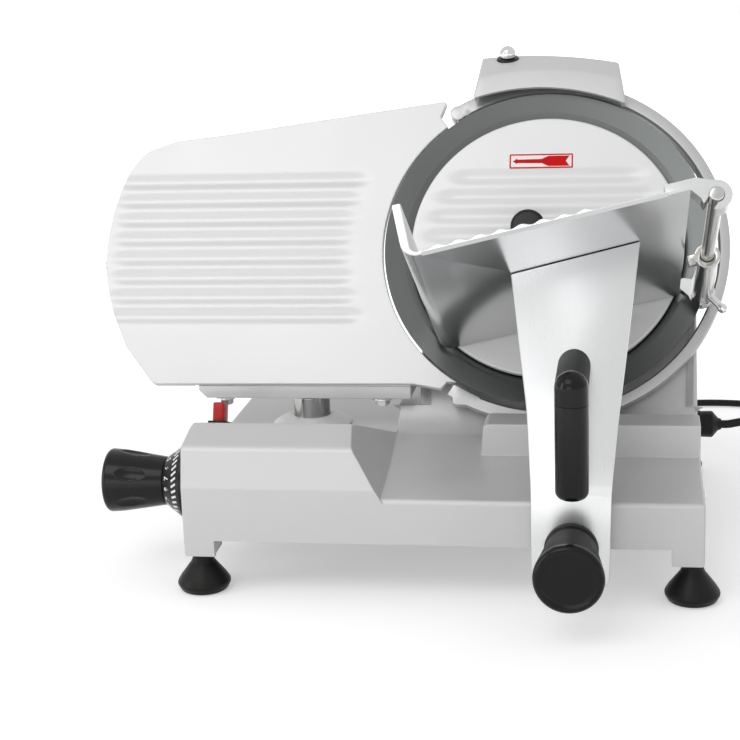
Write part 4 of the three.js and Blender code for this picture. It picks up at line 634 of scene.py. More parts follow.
def ring_of_marks_tree():
    """Bars that stand round a circle about Z, each tilted to lie on a cone."""
    made, given, result = group("Ring of marks", "GeometryNodeTree", [
        ("Count", "NodeSocketInt", 32), ("Radius", FLOAT, 20.0), ("Height", FLOAT, 0.0), ("Tilt", FLOAT, 0.0),
        ("Slant", FLOAT, 0.0), ("Width", FLOAT, 1.0), ("Length", FLOAT, 6.0), ("Thickness", FLOAT, 0.4),
        ("Finish", "NodeSocketMaterial", None),
    ], [("Geometry", "NodeSocketGeometry")])
    circle = made.add("GeometryNodeMeshCircle", {"Vertices": given["Count"], "Radius": given["Radius"]})
    lift = made.add("ShaderNodeCombineXYZ", {2: given["Height"]})
    raised = made.add("GeometryNodeTransform",
                      {"Geometry": circle.outputs[0], "Translation": lift.outputs[0]})
    size = made.add("ShaderNodeCombineXYZ", {0: given["Thickness"], 1: given["Width"], 2: given["Length"]})
    bar = made.add("GeometryNodeMeshCube", {"Size": size.outputs[0]})
    lean = made.add("ShaderNodeCombineXYZ", {0: given["Slant"]})
    bar = made.add("GeometryNodeTransform", {"Geometry": bar.outputs[0], "Rotation": lean.outputs[0]})
    index = made.add("GeometryNodeInputIndex").outputs[0]
    angle = made.math("MULTIPLY", made.math("DIVIDE", index, given["Count"]), 2 * math.pi)
    euler = made.add("ShaderNodeCombineXYZ", {1: given["Tilt"], 2: angle})
    copies = made.add("GeometryNodeInstanceOnPoints",
                      {"Points": raised.outputs[0], "Instance": bar.outputs[0],
                       "Rotation": euler.outputs[0]})
    real = made.add("GeometryNodeRealizeInstances", {"Geometry": copies.outputs[0]})
    coat = made.add("GeometryNodeSetMaterial", {"Geometry": real.outputs[0], "Material": given["Finish"]})
    link(made, coat.outputs[0], result[0])
    return made.tree


def row_of_copies_tree():
    """Copies of an object's mesh in a row between two points, ends included."""
    made, given, result = group("Row of copies", "GeometryNodeTree", [
        ("Copy of", "NodeSocketObject", None), ("Count", "NodeSocketInt", 2), ("Start", VECTOR, None),
        ("End", VECTOR, None), ("Finish", "NodeSocketMaterial", None),
    ], [("Geometry", "NodeSocketGeometry")])
    source = made.add("GeometryNodeObjectInfo", {"Object": given["Copy of"]})
    line = made.add("GeometryNodeMeshLine", {"Count": given["Count"], "Start Location": given["Start"],
                                             "Offset": given["End"]}, mode="END_POINTS")
    copies = made.add("GeometryNodeInstanceOnPoints", {"Points": line.outputs[0],
                                                       "Instance": source.outputs["Geometry"]})
    real = made.add("GeometryNodeRealizeInstances", {"Geometry": copies.outputs[0]})
    coat = made.add("GeometryNodeSetMaterial", {"Geometry": real.outputs[0], "Material": given["Finish"]})
    link(made, coat.outputs[0], result[0])
    return made.tree


def grown(tree, values):
    """A working object made by a geometry node tree, its inputs set before it is evaluated."""
    obj = bpy.data.objects.new("working", bpy.data.meshes.new("working"))
    SCENE.collection.objects.link(obj)
    modifier = obj.modifiers.new(tree.name, "NODES")
    modifier.node_group = tree
    for item in tree.interface.items_tree:
        if item.item_type == "SOCKET" and item.in_out == "INPUT" and item.name in values:
            modifier[item.identifier] = values[item.name]
    return baked(obj)


def copies_in_row(source, count, start, end, finish):
    """Copies of a working object in a row, as one working object; the source is used up."""
    row = grown(row_of_copies_tree(), {"Copy of": source, "Count": count, "Start": start, "End": end,
                                       "Finish": FINISH[finish]})
    bpy.data.objects.remove(source)
    return row


# Camera, lamps and floor

CAMERA_PLACE = Vector((0.1665, -1.16895, 0.4367))
CAMERA_YAW, CAMERA_PITCH, CAMERA_ROLL = (math.radians(a) for a in (-9.25, 14.37, -2.11))
CAMERA_LENS = 78.94
SENSOR = 36


def add_camera():
    """The camera at the photograph's place, found from the blade's circle and the machine's upright edges."""
    forward = Vector((math.sin(CAMERA_YAW) * math.cos(CAMERA_PITCH),
                      math.cos(CAMERA_YAW) * math.cos(CAMERA_PITCH), -math.sin(CAMERA_PITCH)))
    level = Vector((math.cos(CAMERA_YAW), -math.sin(CAMERA_YAW), 0))
    upright = level.cross(forward)
    right = level * math.cos(CAMERA_ROLL) + upright * math.sin(CAMERA_ROLL)
    up = upright * math.cos(CAMERA_ROLL) - level * math.sin(CAMERA_ROLL)
    data = bpy.data.cameras.new("photo_camera")
    data.lens = CAMERA_LENS
    data.sensor_width = SENSOR
    data.clip_end = 50
    camera = bpy.data.objects.new("photo_camera", data)
    SCENE.collection.objects.link(camera)
    turn = Matrix((right, up, -forward)).transposed().to_4x4()
    camera.matrix_world = Matrix.Translation(CAMERA_PLACE) @ turn
    SCENE.camera = camera


def add_lamp(name, place, aim, size, power):
    """A soft square lamp that looks at a point."""
    data = bpy.data.lights.new(name, "AREA")
    data.shape = "RECTANGLE"
    data.size, data.size_y = size
    data.energy = power
    lamp = bpy.data.objects.new(name, data)
    SCENE.collection.objects.link(lamp)
    lamp.location = place
    lamp.rotation_euler = (Vector(place) - Vector(aim)).to_track_quat("Z", "Y").to_euler()


def add_world(strength):
    """Even room light, and plain white where the camera, gloss or glass looks past the object."""
    world = bpy.data.worlds.new("room")
    SCENE.world = world
    world.use_nodes = True
    tree = Tree(world.node_tree)
    light_path = tree.add("ShaderNodeLightPath").outputs
    seen = tree.math("MAXIMUM", light_path["Is Camera Ray"], tree.math(
        "MULTIPLY",
        tree.math("MAXIMUM", light_path["Is Glossy Ray"], light_path["Is Transmission Ray"]), 0.9))
    background = world.node_tree.nodes["Background"]
    background.inputs["Color"].default_value = (1, 1, 1, 1)
    power = tree.math("ADD", strength, tree.math("MULTIPLY", seen, 1 - strength))
    link(tree, power, background.inputs["Strength"])


def floor_material(color):
    """Pale studio floor: faintly cloudy, and lifted to white for the camera, most of all far away."""
    made = bpy.data.materials.new("floor")
    made.use_nodes = True
    tree = Tree(made.node_tree)
    principled = made.node_tree.nodes["Principled BSDF"]
    where = tree.add("ShaderNodeTexCoord").outputs["Object"]
    cloud = tree.add("ShaderNodeTexNoise", {"Vector": where, "Scale": 3.0, "Detail": 2.0}).outputs[0]
    darker = tuple(c * 0.985 for c in color)
    link(tree, tree.mix(cloud, (*darker, 1), (*color, 1)), principled.inputs["Base Color"])
    principled.inputs["Roughness"].default_value = 0.7
    principled.inputs["Specular IOR Level"].default_value = 0.2
    principled.inputs["Emission Color"].default_value = (1, 1, 1, 1)
    distance = tree.add("ShaderNodeVectorMath", {0: where}, operation="LENGTH").outputs["Value"]
    near, far = 0.35, 0.95
    share = tree.add("ShaderNodeMapRange", {0: distance, 1: near, 2: far, 3: 0.36, 4: 1.0}).outputs[0]
    light_path = tree.add("ShaderNodeLightPath").outputs
    seen = tree.math("MAXIMUM", light_path["Is Camera Ray"], light_path["Is Glossy Ray"])
    link(tree, tree.math("MULTIPLY", seen, share), principled.inputs["Emission Strength"])
    return made


# Body castings

TABLE = {"front": -188, "back": 135, "left": -247.5, "right": 113.5, "skirt": 41, "front_top": 73.5,
         "middle": -122, "middle_top": 77.3, "rear": -58, "rear_top": 83.2}
NOSE = {"front_top": 79.8, "brow": -181, "brow_top": 107.8, "crest": -147, "crest_top": 115.8,
        "right_foot": -106.7, "foot_height": 74.5, "lean": 0.58}
HOUSING = {"left": -96, "foot_left": -112, "foot_top": 100, "top": 262, "top_round": 26, "plane": -20.6,
           "foot_round": 36}
PEDESTAL = {"front": -102, "back": -72, "top": 103, "left": -44.6, "draft": 2.6}
LEG = {"width": 22, "depth": 26, "bottom": 28.8, "top": 50, "inset": 0.6}
FEET = [(-238, -173), (106, -173), (-238, 115), (106, 115)]


def plane_y(offset, z):
    """Depth, at a height, of a plane that lies parallel to the blade at an offset out of its face."""
    v = (z - BLADE_HEIGHT - offset * math.sin(BLADE_LEAN)) / math.cos(BLADE_LEAN)
    return v * math.sin(BLADE_LEAN) - offset * math.cos(BLADE_LEAN)


def table_outline(less, low):
    t = TABLE
    return [(t["front"] + less, low), (t["front"] + less, t["front_top"] - less, 3.5),
            (t["middle"], t["middle_top"] - less, 20), (t["rear"], t["rear_top"] - less),
            (t["back"] - less, t["rear_top"] - less), (t["back"] - less, low)]


def housing_outline(less, low):
    t = TABLE
    plane, top = HOUSING["plane"] - less, HOUSING["top"] - less
    foot = [(plane_y(plane, low), low)] if less else [
        (plane_y(plane, t["rear_top"]), t["rear_top"] - 0.02, HOUSING["foot_round"]),
        (t["middle"] + 10, t["middle_top"] + 0.9), (t["middle"] + 10, low)]
    curve = HOUSING["top_round"] - less
    return [(t["back"] - less, low), (t["back"] - less, top, curve), (plane_y(plane, top), top, curve), *foot]


def nose_right(z, less):
    return NOSE["right_foot"] - NOSE["lean"] * (z - NOSE["foot_height"]) - less * math.hypot(1, NOSE["lean"])


def nose_solid(less, low, rim=0):
    """The nose: its side profile limited to its front profile."""
    n, t = NOSE, TABLE
    top = n["crest_top"] - less
    side = along_x([(t["front"] + less, low), (t["front"] + less, n["front_top"], 8),
                    (n["brow"] + less, n["brow_top"] - less, 7), (n["crest"], top, 12),
                    (t["rear"], t["rear_top"] - less), (t["rear"], low)],
                   t["left"] + less, nose_right(low, less) + OVERRUN, rim)
    front = along_y([(t["left"] + less, low), (t["left"] + less, top + OVERRUN - less, 8),
                     (nose_right(top + OVERRUN, less), top + OVERRUN - less), (nose_right(low, less), low)],
                    t["front"] - OVERRUN, t["rear"] + OVERRUN)
    return common(side, front)


def pedestal_solid(less, low, rim=0):
    p = PEDESTAL
    return along_y([(p["left"] + less, low), (p["left"] + p["draft"] + less, p["top"] - less, 5),
                    (TABLE["right"] - less, p["top"] - less), (TABLE["right"] - less, low)],
                   p["front"] + less, p["back"] - less, rim)


def gauge_slot(radius, low, high):
    """The long hole and boss that the gauge column moves in."""
    column_x, column_y, travel = -181, -36, 13.5
    return prism(arc(radius, 180, 360, 24, column_x, column_y)
                 + arc(radius, 0, 180, 24, column_x, column_y + travel), low, high)


def skirt_arches(low):
    """What is cut away below the skirt, so that the table's own corners stay as legs."""
    t, side, depth = TABLE, LEG["width"], LEG["depth"]
    height = (LEG["bottom"] - OVERRUN, low)
    return [block((t["left"] + side, t["right"] - side), (t["front"] - OVERRUN, t["back"] + OVERRUN), height),
            block((t["left"] - OVERRUN, t["right"] + OVERRUN), (t["front"] + depth, t["back"] - depth),
                  height)]


def leg_cores():
    """The solid insides of the four legs."""
    cores = []
    for x, y in FEET:
        left = TABLE["left"] + LEG["inset"] if x < 0 else TABLE["right"] - LEG["width"] + LEG["inset"]
        front = TABLE["front"] + LEG["inset"] if y < 0 else TABLE["back"] - LEG["depth"] + LEG["inset"]
        side, depth = LEG["width"] - LEG["inset"] * 2, LEG["depth"] - LEG["inset"] * 2
        cores.append(block((left, left + side), (front, front + depth),
                           (LEG["bottom"] + LEG["inset"], LEG["top"])))
    return cores


def body_casting():
    """The one-piece body: table, nose, pedestal and housing, open below and behind."""
    t, h = TABLE, HOUSING
    low, below, leg_low = t["skirt"], LEG["bottom"] - OVERRUN, LEG["bottom"]
    footing = common(
        along_x(housing_outline(0, low), h["foot_left"], t["right"], 2),
        block((h["foot_left"] - OVERRUN, t["right"] + OVERRUN), (t["front"], t["back"] + OVERRUN),
              (low - OVERRUN, h["foot_top"])))
    column_room = 14.5
    outside = joined(
        along_x(table_outline(0, leg_low), t["left"], t["right"], 2), nose_solid(0, low, 2),
        along_x(housing_outline(0, low), h["left"], t["right"], 3), footing,
        pedestal_solid(0, t["front_top"], 1.5))
    hollow = cut(
        outside, along_x(table_outline(WALL, below), t["left"] + WALL, t["right"] - WALL),
        nose_solid(WALL, below), along_x(housing_outline(WALL, below), h["left"] + WALL, t["right"] - WALL),
        gauge_slot(column_room, low, t["rear_top"] + OVERRUN),
        block((-78, 96), (t["back"] - WALL - OVERRUN, t["back"] + OVERRUN), (92, 226)))
    body = cut(
        hollow, rod(33, -28, -16, 64, turn=MACHINE.inverted() @ LEANING),
        rod(5.3, t["left"] - OVERRUN, t["left"] + WALL + OVERRUN, 32,
            turn=Matrix.Translation((0, -140, 69.2)) @ ABOUT_X))
    inner_bars = [placed(block((-93.5, 111), (-11, 11), (-72, -66)), MACHINE.inverted() @ LEANING),
                  placed(block((6, 111), (-106, -32), (-61.7, -58.2)), MACHINE.inverted() @ LEANING)]
    body = joined(body, *inner_bars)
    soften(body, 0.9)
    body = cut(joined(body, *leg_cores()), *skirt_arches(low))
    finished(body, "body_casting", MACHINE, "machine", FINISH["casting"], ["base_casting"], 30,
             True)


def foot_solid():
    return turned([(0, 0), (16.4, 0, 2.2), (19.5, 5.6, 3.4), (16.4, 10.6, 6), (8.6, 20.8, 3), (7.3, 24, 1.5),
                   (7.3, 28.5), (0, 28.5)])


def feet():
    """Four rubber feet, a copy of one bell-shaped foot at each corner."""
    for side, y in (("front", -173), ("rear", 115)):
        pair = copies_in_row(foot_solid(), 2, (-238, y, 0), (106, y, 0), "rubber")
        finished(pair, f"rubber_feet_{side}", MACHINE, "machine", FINISH["rubber"],
                 [f"foot_{side}_left", f"foot_{side}_right"], 40)


def pan_screw(radius, head, shank, length, turn):
    """A pan-head screw with a cross recess, its head along Z."""
    screw = joined(turned([(0, SEAT_GAP), (radius, SEAT_GAP), (radius, head * 0.55, 0.8),
                           (radius * 0.5, head, 1.2), (0, head)], 40),
                   rod(shank, -length, SEAT_GAP + 0.2, 24))
    arm, slot_half = radius * 0.55, radius * 0.12
    screw = cut(screw, block((-arm, arm), (-slot_half, slot_half), (head * 0.55, head + 1)),
                block((-slot_half, slot_half), (-arm, arm), (head * 0.55, head + 1)))
    return placed(screw, turn)


def body_screws():
    """Screws of the rear cover and of the right side."""
    facing_back = Matrix.Rotation(-math.pi / 2, 4, "X")
    height, back = 230.2, 137.3
    pair = copies_in_row(pan_screw(4, 2.4, 2, 7, facing_back), 2, (-82.2, back, height),
                         (100.2, back, height), "steel")
    finished(pair, "rear_cover_screws", MACHINE, "machine", FINISH["steel"],
             ["rear_cover_screw_left", "rear_cover_screw_right"])
    side = placed(pan_screw(4.5, 2.4, 2.5, 8, Matrix.Rotation(math.pi / 2, 4, "Y")),
                  Matrix.Translation((TABLE["right"], -140, 63)))
    finished(side, "side_cap_screw", MACHINE, "machine", FINISH["steel"], ["side_screw"])


def covers():
    """Sheet covers behind and below, and the drive behind the blade."""
    back = node_copy("rear_cover")
    soften(back, 0.0005)
    finished(back, "vented_rear_cover", Matrix.Identity(4), "machine", FINISH["sheet"],
             ["rear_cover"])
    bars = [("gauge_guides", ["guide_rod_left", "guide_rod_right"], "machine")]
    for name, nodes, body in bars:
        piece = node_copy(*nodes)
        finished(piece, name, Matrix.Identity(4), body, FINISH["steel"], nodes, 40)


# Blade, ring and cover

RING = {"radius": 138, "bore": 128, "shift": (1.5, -1), "back": -16, "front": -3, "open_from": 124,
        "open_to": 238}
COVER = {"radius": 104, "face": 1.7, "under": -0.9, "skirt": -3, "skirt_wall": 3}


def blade_disc():
    disc = turned([(14, -7), (98, -7, 1.5), (110, -3.2, 6), (124.4, -0.3, 3), (125, -0.2), (124.2, -1.2),
                   (112, -6.5, 1), (98, -11, 1), (14, -11)], DISC_STEPS)
    finished(disc, "blade_disc", LEANING, "blade_rotor", FINISH["shaded_blade_metal"], ["blade"], 25)


def guard_ring():
    r = RING
    disc = turned([(0, r["back"]), (r["radius"], r["back"]), (r["radius"], r["front"]), (0, r["front"])],
                  DISC_STEPS)
    bore = turned([(0, r["back"] - OVERRUN), (r["bore"], r["back"] - OVERRUN), (r["bore"], r["front"] - 1.4),
                   (r["bore"] + 1.4, r["front"]), (r["bore"] + 1.4, r["front"] + OVERRUN),
                   (0, r["front"] + OVERRUN)], DISC_STEPS, (*r["shift"], 0))
    far = r["radius"] * 2
    opening = prism([(0, 0), *arc(far, r["open_from"], r["open_to"], 6)], r["back"] - OVERRUN,
                    r["front"] + OVERRUN)
    middle, lobe_angle = (r["radius"] + r["bore"]) / 2, math.radians(122.5)
    lobe = rod(6, r["back"], r["front"], 48,
               (middle * math.cos(lobe_angle), middle * math.sin(lobe_angle), 0))
    lug = prism([(-69, -125, 3), (-48, -125, 3), (-48, -109.2), (-69, -109.2)], r["back"], r["front"])
    lug_bore = rod(r["bore"], r["back"] - OVERRUN, r["front"] + OVERRUN, DISC_STEPS, (*r["shift"], 0))
    ring = joined(cut(disc, bore, opening), lobe, cut(lug, lug_bore))
    soften(ring, 0.8, 50)
    finished(ring, "guard_ring_casting", LEANING, "machine", FINISH["ring_casting"],
             ["guard_ring"], 25)


def sheet_slab(values, top, bottom):
    """The grooved sheet made into a closed slab whose face is at top and whose back is flat at bottom."""
    grooves = SCENE.slicer_grooves
    sheet = grown(grooved_sheet_tree(), {
        "Pitch": grooves.pitch / MM, "Width": grooves.width / MM, "Depth": grooves.depth / MM,
        "Count": float(grooves.count), "Finish": FINISH["plate"], **values})
    bm = bmesh.new()
    bm.from_mesh(sheet.data)
    bpy.data.objects.remove(sheet)
    bmesh.ops.translate(bm, verts=bm.verts[:], vec=(0, 0, top))
    rim = [e for e in bm.edges if e.is_boundary]
    grown_rim = bmesh.ops.extrude_edge_only(bm, edges=rim)["geom"]
    for vert in (g for g in grown_rim if isinstance(g, bmesh.types.BMVert)):
        vert.co.z = bottom
    bmesh.ops.contextual_create(bm, geom=[e for e in bm.edges if e.is_boundary])
    return shape(bm)


def blade_cover():
    """The round cover: a thin dish, grooved on its face, with the hole of its knob."""
    c = COVER
    dish = turned([(0, c["under"]), (c["radius"] - c["skirt_wall"], c["under"]),
                   (c["radius"] - c["skirt_wall"], c["skirt"]), (c["radius"], c["skirt"]),
                   (c["radius"], c["face"], 1.4), (0, c["face"])], DISC_STEPS)
    slab = sheet_slab({"Left": -110.0, "Right": 110.0, "Bottom": -110.0, "Top": 110.0, "Cell": 1.7,
                       "Left share": -1.0, "Right share": 1.0, "Orbit": 88.0}, c["face"] - 0.02,
                      c["skirt"] - 2)
    hole = rod(3.3, -8, 8, 24, (*COVER_KNOB_PLACE, 0))
    cover = cut(common(dish, slab), hole)
    finished(cover, "grooved_cover", LEANING, "machine", FINISH["bright_plate"], ["blade_cover"], 28)


COVER_KNOB_PLACE = (-13, 7)


def cover_knob():
    knob = turned([(0, -5.2), (3, -5.2), (3, 2), (9, 2, 0.8), (9.3, 7, 2), (13, 12, 3),
                   (13, 28.7, 3.2), (0, 28.2)], place=(*COVER_KNOB_PLACE, 0))
    finished(knob, "cover_knob_grip", LEANING, "cover_knob", FINISH["plastic"], ["cover_knob"], 40)


def turning_arrow():
    """A framed arrow printed on the cover: the way in which the blade turns."""
    left, right, low, high, line = -29.5, 19.5, 62.4, 74.2, 1.1
    face, ink = COVER["face"] + 0.005, 0.09
    frame_print = cut(prism([(left, low, 1), (right, low, 1), (right, high, 1), (left, high, 1)],
                            face, face + ink),
                      prism([(left + line, low + line), (right - line, low + line),
                             (right - line, high - line), (left + line, high - line)], face - 1, face + 1))
    middle = (low + high) / 2
    head = [(left + 2.6, middle), (left + 6, middle + 2.4), (left + 6, middle + 1.4),
            (left + 25, middle + 1.7), (left + 30, middle + 4.2), (right - 2.6, middle + 4.2),
            (right - 5.6, middle), (right - 2.6, middle - 4.2), (left + 30, middle - 4.2),
            (left + 25, middle - 1.7), (left + 6, middle - 1.4), (left + 6, middle - 2.4)]
    arrow = joined(frame_print, prism(head, face, face + ink))
    finished(arrow, "turning_arrow", LEANING, "machine", FINISH["red_print"])


# Sharpener

SHARPENER = {"front": 10, "back": -23, "top_n": -16, "wall": 3, "rear": -56, "ring_room": 2}
ARCH_FOOT = ((59.8, 111.5), 126.3, (-58.5, 118.7))
ROOF_LINE = ((56.2, 132.7), 142.3, (-53.8, 136.6))
ROOF_TOP = ((54.2, 158.5), 165.8, (-54.5, 165))
ROOF_KNOB = {"u": -33.5, "share": 0.76, "sunk": 1.1, "washer": 8.6, "radius": 6.4}
STONES = (("grinding", -18), ("truing", 24))


def arch_at(arch, share):
    """A point of a flat arch that runs from a right point over a middle height to a left point."""
    (right_u, right_v), middle, (left_u, left_v) = arch
    peak = middle * 2 - (right_v + left_v) / 2
    height = (1 - share) ** 2 * right_v + 2 * share * (1 - share) * peak + share ** 2 * left_v
    return right_u + (left_u - right_u) * share, height


def arch_points(arch, inward=0, down=0, steps=32):
    (right_u, right_v), middle, (left_u, left_v) = arch
    moved = ((right_u - inward, right_v - down), middle - down, (left_u + inward, left_v - down))
    return [arch_at(moved, k / steps) for k in range(steps + 1)]


def sharpener_skin(less):
    """An upright front, a sloping roof and an upright back, as one convex skin."""
    s = SHARPENER
    front, back = s["front"] - less, s["back"] + less
    roof = arch_points(ROOF_TOP, less, less * 1.4)
    (right_u, right_v), _, (left_u, left_v) = ARCH_FOOT
    low = [(right_u - less, right_v - less * 2), (left_u + less, left_v - less * 2)]
    bm = bmesh.new()
    for u, v in arch_points(ROOF_LINE, less, less * 0.45):
        bm.verts.new((u, v, front))
    for u, v in roof:
        bm.verts.new((u, v, s["top_n"]))
        bm.verts.new((u, v - 3, back))
    for u, v in low:
        bm.verts.new((u, v, front))
        bm.verts.new((u, v, back))
    made = bmesh.ops.convex_hull(bm, input=bm.verts[:])
    bmesh.ops.delete(bm, geom=made["geom_interior"], context="VERTS")
    return shape(bm)


def roof_knob_turn():
    """Where the knob stands, its height axis square to the roof."""
    knob, s = ROOF_KNOB, SHARPENER
    share = (ROOF_LINE[0][0] - knob["u"]) / (ROOF_LINE[0][0] - ROOF_LINE[2][0])
    line = arch_at(ROOF_LINE, share)[1]
    share = (ROOF_TOP[0][0] - knob["u"]) / (ROOF_TOP[0][0] - ROOF_TOP[2][0])
    rise, depth = arch_at(ROOF_TOP, share)[1] - line, s["front"] - s["top_n"]
    tilt = math.atan2(rise, depth)
    place = (knob["u"], line + rise * knob["share"] - knob["sunk"] * math.cos(tilt),
             s["front"] - depth * knob["share"] - knob["sunk"] * math.sin(tilt))
    return Matrix.Translation(place) @ Matrix.Rotation(tilt, 4, "X") @ ABOUT_Y_UP


def sharpener():
    """The housing over the top of the ring, its knob and its two buttons."""
    s, wall, knob = SHARPENER, SHARPENER["wall"], ROOF_KNOB
    (right_u, right_v), _, (left_u, _) = ARCH_FOOT
    below = prism([*arch_points(ARCH_FOOT), (left_u - 9, right_v - 9), (right_u + 9, right_v - 9)],
                  s["back"] - OVERRUN, s["front"] + OVERRUN)
    ring_room = rod(RING["radius"] + SEAT_GAP, s["back"] + wall, s["ring_room"], DISC_STEPS)
    shell = soften(sharpener_skin(0), 2.2, 20)
    shell = cut(shell, sharpener_skin(wall), below, ring_room)
    rear = prism([(-45, 104), (50, 104), (50, 149, 5), (-45, 149, 5)], s["rear"], s["back"] + wall, 1.5)
    rear_pocket = block((-42, 47), (101, 146), (-53, -23))
    seat = roof_knob_turn()
    housing = cut(joined(shell, rear), rear_pocket, placed(rod(3.3, -6, 3, 24), seat),
                  placed(rod(knob["washer"] + 0.4, 0, 3, 64), seat),
                  *[rod(3.3, -60, -50, 24, (u, 123, 0)) for _, u in STONES])
    finished(housing, "sharpener_cover", LEANING, "sharpener", FINISH["casting"],
             ["sharpener_housing"], 24)
    washer = turned([(3.3, 0.3), (knob["washer"], 0.3, 0.6), (knob["washer"], 2.7, 0.8), (3.3, 2.7)], 64)
    finished(washer, "knob_washer", LEANING @ seat, "sharpener", FINISH["plastic"],
             ["sharpener_washer"], 40)
    base, skirt, height, radius = 3, 2.6, 9, knob["radius"]
    dome = turned([(0, -6), (3, -6), (3, base), (radius - 0.4, base, 0.4), (radius, base + 1, 0.4),
                   (radius, base + skirt, 0.6),
                   *[(radius * math.cos(a), base + skirt + (height - skirt) * math.sin(a)) for a in
                     (math.radians(6 * k) for k in range(1, 15))], (0, base + height)], 64)
    finished(dome, "dome_knob", LEANING @ seat, "sharpener_knob", FINISH["chrome"],
             ["sharpener_knob"], 40)
    for name, u in STONES:
        button = turned([(0, -70), (7, -70, 1.5), (7, -62, 1), (3, -62), (3, -39.1), (5.5, -39.1, 0.4),
                         (5.5, -37.3, 0.4), (3, -37.3), (3, -27.7), (0, -27.7)], 64, (u, 123, 0))
        finished(button, f"{name}_button_cap", LEANING, f"{name}_button", FINISH["plastic"],
                 [f"{name}_shaft"], 40)


# Gauge plate

GAUGE_REACH, GAUGE_HALF, GAUGE_THICKNESS = 350.2, 110.9, 7
GAUGE_LOWER = [(-0.9338, -0.7304, 14), (-0.8646, -1, 6), (-0.2836, -0.991), (-0.2213, -1.0252, 2),
               (-0.2087, -0.9757)]
GAUGE_UPPER = [(-0.2413, 0.9693), (-0.2267, 1.0911, 2), (-0.2901, 1.0658), (-0.7253, 0.871, 60),
               (-0.8501, 0.8242, 30), (-0.9243, 0.743, 20), (-0.964, 0.5663, 60), (-0.9892, 0.2976, 120),
               (-1, -0.0072, 160), (-0.9929, -0.2705, 160), (-0.9677, -0.5032, 90)]
GAUGE_BAR = {"left": -267.5, "right": -101.3, "front": -50, "back": -15, "bottom": 107, "top": 117}


def gauge_plate():
    """The wide plate that the meat slides on, grooved on its face, with a flange and ribs behind."""
    def real(shares):
        return [(u * GAUGE_REACH, v * GAUGE_HALF, *rest) for u, v, *rest in shares]
    plate = prism(real(GAUGE_LOWER) + arc(126.5, 238.8, 128.5, 60) + real(GAUGE_UPPER),
                  -GAUGE_THICKNESS, 0, 0.9)
    slab = sheet_slab({"Left": -356.0, "Right": -66.0, "Bottom": -118.0, "Top": 126.0, "Cell": 1.9,
                       "Left flat": -338.0, "Left share": 0.0, "Right share": -1.0, "Orbit": 157.0},
                      -0.02, -GAUGE_THICKNESS - OVERRUN)
    plate = placed(common(plate, slab), MACHINE.inverted() @ LEANING)
    bar, low = GAUGE_BAR, GAUGE_BAR["top"] + SEAT_GAP
    middle = plane_y(-GAUGE_THICKNESS / 2, low)
    flange = along_x([(middle, low), (plane_y(-GAUGE_THICKNESS / 2, low + 9), low + 9),
                      (-18, low + 9), (-18, low)], bar["left"], bar["right"])
    rib_top = 168
    ribs = [along_x([(middle, low), (plane_y(-GAUGE_THICKNESS / 2, rib_top), rib_top),
                     (-18, rib_top), (-18, low)], x - 2.5, x + 2.5) for x in (-240, -181, -122)]
    room = block((bar["left"] - OVERRUN, bar["right"] + OVERRUN),
                 (bar["front"] - SEAT_GAP, bar["back"] + OVERRUN), (bar["bottom"] - OVERRUN, low))
    whole = cut(joined(plate, flange, *ribs), room)
    finished(whole, "grooved_gauge_plate", MACHINE, "gauge", FINISH["plate"], ["gauge_plate"], 28,
             True)


def hex_bolt():
    """A hexagon bolt, head down, with a washer under its head and a chamfered face."""
    head = prism([(5.77 * math.cos(math.radians(60 * k)), 5.77 * math.sin(math.radians(60 * k)))
                  for k in range(6)], 0, 6)
    chamfer = turned([(0, 0), (5, 0), (6.2, 1.1), (6.2, 6), (0, 6)], 48)
    return joined(common(head, chamfer), rod(8.2, 4.6, 6, 48, edge=0.5), rod(3, 5, 16, 32))


def gauge_mount():
    """Bar, bolts, column and dome that carry the gauge plate."""
    bar = node_copy("gauge_bar")
    soften(bar, 0.0008)
    finished(bar, "gauge_plate_bar", Matrix.Identity(4), "gauge", FINISH["plate"], ["gauge_bar"])
    bottom = GAUGE_BAR["bottom"] - SEAT_GAP - 6
    bolts = copies_in_row(hex_bolt(), 2, (-247.8, -43, bottom), (-124.5, -43, bottom), "steel")
    finished(bolts, "gauge_bolts", MACHINE, "gauge", FINISH["bright_steel"],
             ["gauge_bolt_left", "gauge_bolt_right"])
    place = (-181, -36, 0)
    column = turned([(0, 50), (14, 50, 1), (14, 106.7, 0.6), (0, 106.7)], place=place)
    finished(column, "gauge_post", MACHINE, "gauge", FINISH["shaded_post_steel"], ["gauge_column"], 40)
    low = TABLE["rear_top"] + SEAT_GAP
    dome = turned([(14.3, low), (31, low, 0.6), (30.4, low + 1.6, 1), (25, low + 5, 12), (18, low + 7.6, 6),
                   (16, low + 7.8, 1), (14.3, low + 7.8)], place=place)
    finished(dome, "post_dome", MACHINE, "gauge", FINISH["bright_plate"], ["dome_cover"], 40)


# Thickness dial

DIAL_TURN = Matrix.Translation((0, -140, 69.2)) @ ABOUT_X
KNOB_FRONT, CONE_START, CONE_END, DIAL_BACK = -314, -269.5, -255, -250
HOLLOWS = {"count": 6, "first": 30, "middle": -293, "half_length": 11, "half_width": 4.6, "depth": 1.5}


